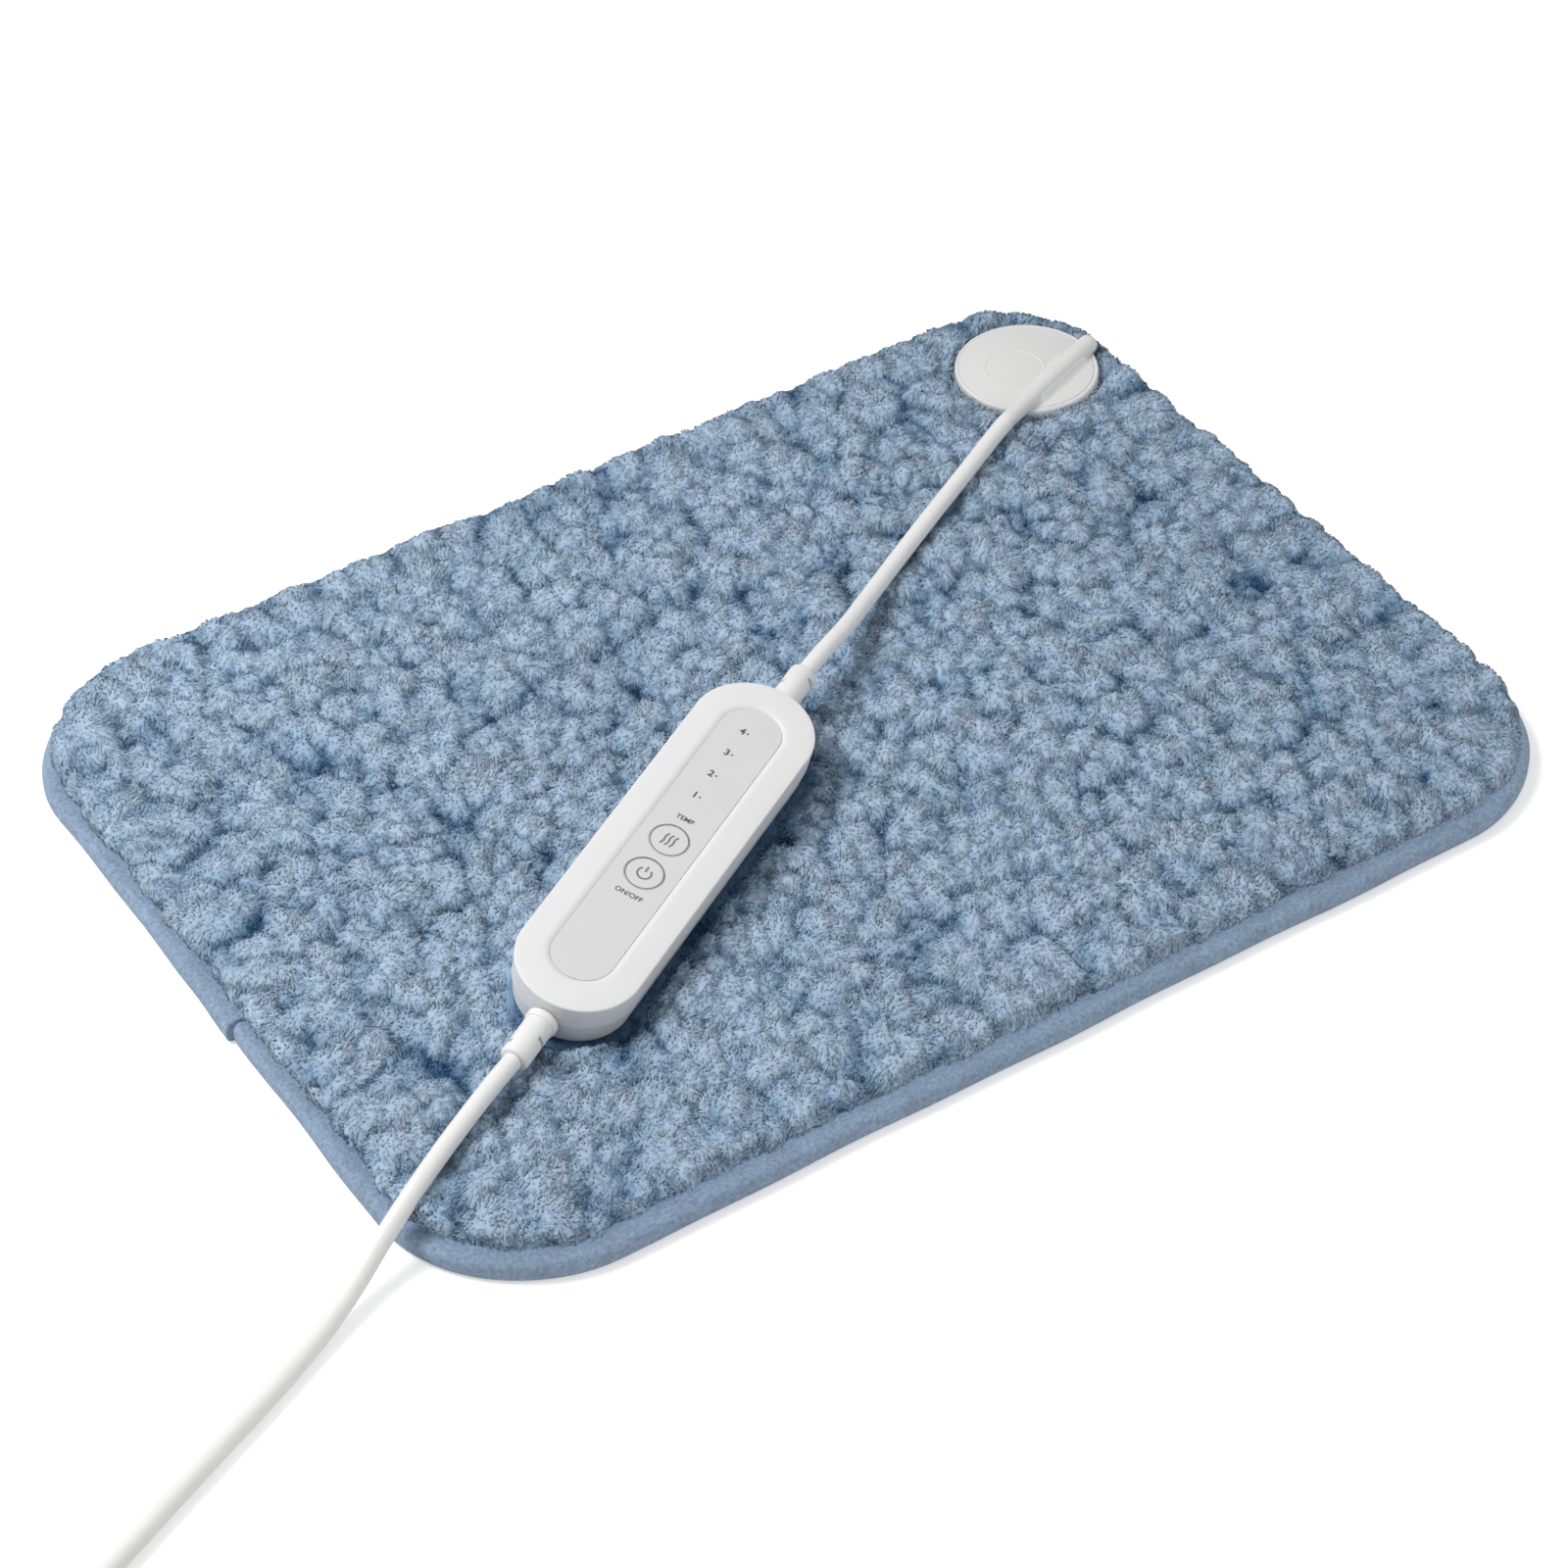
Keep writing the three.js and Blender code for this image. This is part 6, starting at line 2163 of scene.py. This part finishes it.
@dataclass(frozen=True)
class Plug:
    """The moulded two-pin plug at the end of the mains lead."""

    place: Matrix
    sleeve: float = 6.8
    sleeve_length: float = 24
    body_length: float = 36
    width: float = 35
    thickness: float = 13.4
    pin: float = 4
    pin_spacing: float = 18.6
    pin_start: float = 52
    pin_end: float = 79
    ribs: int = 6

    def _section(self, along: float, width: float, thickness: float) -> list[Point]:
        """An upright ring with full sides."""
        ring = Outline(width, thickness, min(width, thickness) / 2 * 0.96)
        return [(along, across, up) for across, up, _ in ring.ring(ring.stations(10), 0, 0)]

    def _rings(self) -> list[list[Point]]:
        """The rings of the ribbed sleeve, the swelling body and its rounded face.

        Returns:
            The rings in order.
        """
        neck = self.thickness * 0.8
        face = self.sleeve_length + self.body_length
        rings = [self._section(0, self.sleeve - 0.5, self.sleeve - 0.5)]
        span = self.sleeve_length / self.ribs
        for rib in range(self.ribs):
            for part, cut in ((0.08, 0.0), (0.68, 0.0), (0.76, 0.7), (0.98, 0.7)):
                along = span * (rib + part)
                full = self.sleeve + (neck - self.sleeve) * along / self.sleeve_length
                rings.append(self._section(along, full - 2 * cut, full - 2 * cut))
        for share in np.linspace(0.06, 1, 12):
            along = self.sleeve_length + (self.body_length - 2.5) * share
            swell = smooth_step(share * 1.25)
            wide, thick = neck + (self.width - neck) * swell, neck + (self.thickness - neck) * swell
            rings.append(self._section(along, wide, thick))
        for inset, back in ((0.25, 1.3), (0.8, 0.5), (1.6, 0.0)):
            rings.append(self._section(face - back, self.width - 2 * inset, self.thickness - 2 * inset))
        return rings

    def build(self) -> list[Object]:
        """Makes the plug.

        Returns:
            Its body and its pins.
        """
        face = self.sleeve_length + self.body_length
        radius = self.pin / 2
        room, start = radius + 0.15, self.pin_start - 0.3
        bore = [(0, start), (room, start), (room, face + 2), (0, face + 2)]
        profile = [
            (0, self.pin_start), (radius, self.pin_start), (radius, self.pin_end - 1.4),
            (radius * 0.88, self.pin_end - 0.6), (radius * 0.6, self.pin_end - 0.1), (0, self.pin_end),
        ]
        made, holes = [], []
        for name, side in ((1, -1), (2, 1)):
            lay = shift(0, side * self.pin_spacing / 2) @ spin(90, "Y")
            holes.append(Piece(f"plug_pin_room_{name}", self.place).turn(bore, 32, lay))
            pin = Piece(f"plug_pin_smooth_{name}", self.place).turn(profile, 32, lay)
            made.append(pin.finish(Slot.BRASS, replaces=[f"plug_pin_{name}"]))
        body = Piece("plug_moulding", self.place).skin(self._rings()).finish(
            Slot.JACKET, replaces=["plug_body"], cuts=holes, sharp=40
        )
        return [body, *made]


# The stage


def look_in(
    name: str, data: bpy.types.ID, azimuth: float, elevation: float, distance: float, target: Point
) -> Object:
    """Puts a camera or a lamp where it looks at a place.

    Args:
        name: what it is called.
        data: its data.
        azimuth: its side, in degrees, 0 from the front of the pad and 90 from its right.
        elevation: how far up it is, in degrees.
        distance: how far off it is.
        target: the place.

    Returns:
        The object.
    """
    turn, rise = math.radians(azimuth), math.radians(elevation)
    flat = math.cos(rise)
    back = Vector((math.sin(turn) * flat, -math.cos(turn) * flat, math.sin(rise)))
    made = link(name, data)
    made.location = (Vector(target) + back * distance) * MM
    made.rotation_euler = back.to_track_quat("Z", "Y").to_euler()
    return made


@dataclass(frozen=True)
class Camera:
    """The camera that the photograph was matched to."""

    azimuth: float = -33.538
    elevation: float = 42.475
    lens: float = 97.95
    distance: float = 1302.3
    target: Point = (-7.30, -8.86, 0)

    def build(self) -> None:
        """Places the camera."""
        data = bpy.data.cameras.new("camera")
        data.lens = self.lens
        data.sensor_width = 36
        data.clip_start, data.clip_end = 0.05, 20
        bpy.context.scene.camera = look_in(
            "camera", data, self.azimuth, self.elevation, self.distance, self.target
        )


@dataclass(frozen=True)
class Lamp:
    """A soft square lamp that looks at the middle of the pad."""

    name: str
    azimuth: float
    elevation: float
    distance: float
    size: float
    power: float

    def build(self) -> None:
        """Hangs the lamp."""
        data = bpy.data.lights.new(self.name, "AREA")
        data.shape = "SQUARE"
        data.size = self.size
        data.energy = self.power
        look_in(self.name, data, self.azimuth, self.elevation, self.distance, (0, 0, 0))


def show(tree: bpy.types.NodeTree, others: Socket, camera: Socket, end: str) -> None:
    """Shows one shader to the camera and another to all other rays.

    Args:
        tree: the nodes of the material or the sky.
        others: what other rays meet.
        camera: what the camera sees.
        end: the node that takes the result.
    """
    rays = tree.nodes.new("ShaderNodeLightPath")
    mix = tree.nodes.new("ShaderNodeMixShader")
    for source, socket in zip((rays.outputs["Is Camera Ray"], others, camera), mix.inputs):
        tree.links.new(source, socket)
    tree.links.new(mix.outputs[0], tree.nodes[end].inputs["Surface"])


@dataclass(frozen=True)
class Stage:
    """The white floor, the sky and the lamps."""

    size: float = 12
    albedo: float = 0.8
    glow: float = 0.42
    far_glow: float = 0.68
    far_span: Pair = (0.6, 2)
    sky: float = 0.42
    lamps: tuple[Lamp, ...] = (
        Lamp("key_lamp", 235, 54, 1500, 0.62, 17.2), Lamp("fill_lamp", -60, 40, 2600, 1.6, 4),
        Lamp("side_lamp", 40, 15, 2400, 1.2, 12),
    )

    def _floor(self) -> None:
        """Lays the floor: it is white to the camera as far as the sky and takes a shadow."""
        surface = Surface("floor")
        surface.tree.nodes.remove(surface.shader)
        stops = [(0.3, (self.albedo,) * 3), (0.7, (self.albedo * 1.01,) * 3)]
        matt = surface.node("BsdfDiffuse", Color=surface.ramp(surface.noise(0.002, 2), stops))
        reach = surface.node("VectorMath", {"operation": "LENGTH"}, Vector=surface.place)
        strength = surface.spread(reach.outputs["Value"], self.glow, self.far_glow, self.far_span)
        glow = surface.node("Emission", Color=(1, 1, 1, 1), Strength=strength)
        both = surface.node("AddShader")
        for source, socket in zip((matt, glow), both.inputs):
            surface.feed(socket, source.outputs[0])
        show(surface.tree, matt.outputs[0], both.outputs[0], "Material Output")
        piece = bmesh.new()
        bmesh.ops.create_grid(piece, x_segments=1, y_segments=1, size=self.size / 2)
        bmesh.ops.translate(piece, verts=piece.verts, vec=(0, 0, -0.0002))
        data = bpy.data.meshes.new("floor")
        piece.to_mesh(data)
        piece.free()
        data.materials.append(surface.material)
        link("floor", data)

    def _sky(self) -> None:
        """Makes the sky white to the camera and soft to everything else."""
        world = bpy.data.worlds.new("sky")
        world.use_nodes = True
        light = world.node_tree.nodes["Background"]
        white = world.node_tree.nodes.new("ShaderNodeBackground")
        for node, strength in ((light, self.sky), (white, 1)):
            node.inputs["Color"].default_value = (1, 1, 1, 1)
            node.inputs["Strength"].default_value = strength
        show(world.node_tree, light.outputs[0], white.outputs[0], "World Output")
        bpy.context.scene.world = world

    def build(self) -> None:
        """Makes the stage."""
        self._floor()
        self._sky()
        for lamp in self.lamps:
            lamp.build()
        bpy.context.scene.view_settings.view_transform = "Standard"


INSIDE = {
    Slot.WADDING: "upper_wadding lower_wadding",
    Slot.CARRIER: "heater_carrier",
    Slot.HEATER: "heating_wire",
    Slot.SENSOR: "temperature_sensor",
    Slot.DARK: "overheat_cutout tact_switch_power tact_switch_temperature tact_plunger_power "
    "tact_plunger_temperature heater_triac",
    Slot.HOUSING: "mains_terminal pad_terminal socket_base socket_clamp_plate mains_cord_clamp "
    "pad_cord_clamp",
    Slot.BRASS: "socket_pin_1 socket_pin_2 connector_contact_1 connector_contact_2",
    Slot.STEEL: "socket_screw_1 socket_screw_2 connector_screw_1 connector_screw_2 shell_screw_1 "
    "shell_screw_2 shell_screw_3 shell_screw_4",
    Slot.JACKET: "mains_cord_end pad_cord_end",
    Slot.BOARD: "circuit_board",
    Slot.LAMP: "step_light_1 step_light_2 step_light_3 step_light_4",
    Slot.FUSE: "mains_fuse",
    Slot.CAPACITOR: "filter_capacitor",
}


def dress_inside() -> None:
    """Gives the pieces inside the pad, the controller and the socket their finishes."""
    for slot, names in INSIDE.items():
        for name in names.split():
            materials = frame["nodes"][name].data.materials
            materials.clear()
            materials.append(painted(slot.value))


def main() -> None:
    """Builds the heating pad and its stage."""
    logging.basicConfig(level=logging.INFO, format="%(name)s %(message)s")
    controller = Controller()
    connector = Connector()
    outline = PadOutline()
    pad_lead = PadLead(controller, connector)
    mains_lead = MainsLead(controller)
    Camera().build()
    strap = CoilTie(mains_lead).build()
    plug = Plug(mains_lead.plug_place()).build()
    mains_lead.build([*plug, strap])
    pad_lead.build()
    Backing(outline).build()
    EdgeTape(outline).build()
    controller.build()
    relief = StrainRelief(controller)
    relief.build("pad_lead_sleeve", "pad_strain_relief", turned=False)
    relief.build("mains_lead_sleeve", "mains_strain_relief", turned=True)
    Print(controller).build()
    connector.build()
    dress_inside()
    cords = (
        (pad_lead.route()[::3], LEAD_ROOM), (mains_lead.route()[:60:3], LEAD_ROOM),
        (connector.sleeve_line(), SLEEVE_ROOM), (relief.line(turned=False), RELIEF_ROOM),
        (relief.line(turned=True), RELIEF_ROOM),
    )
    lines = tuple((np.array([point[:] for point in line]), radius) for line, radius in cords)
    Pile(outline, Seat(outline, controller), lines).build()
    Stage().build()


if __name__ == "__main__":
    main()
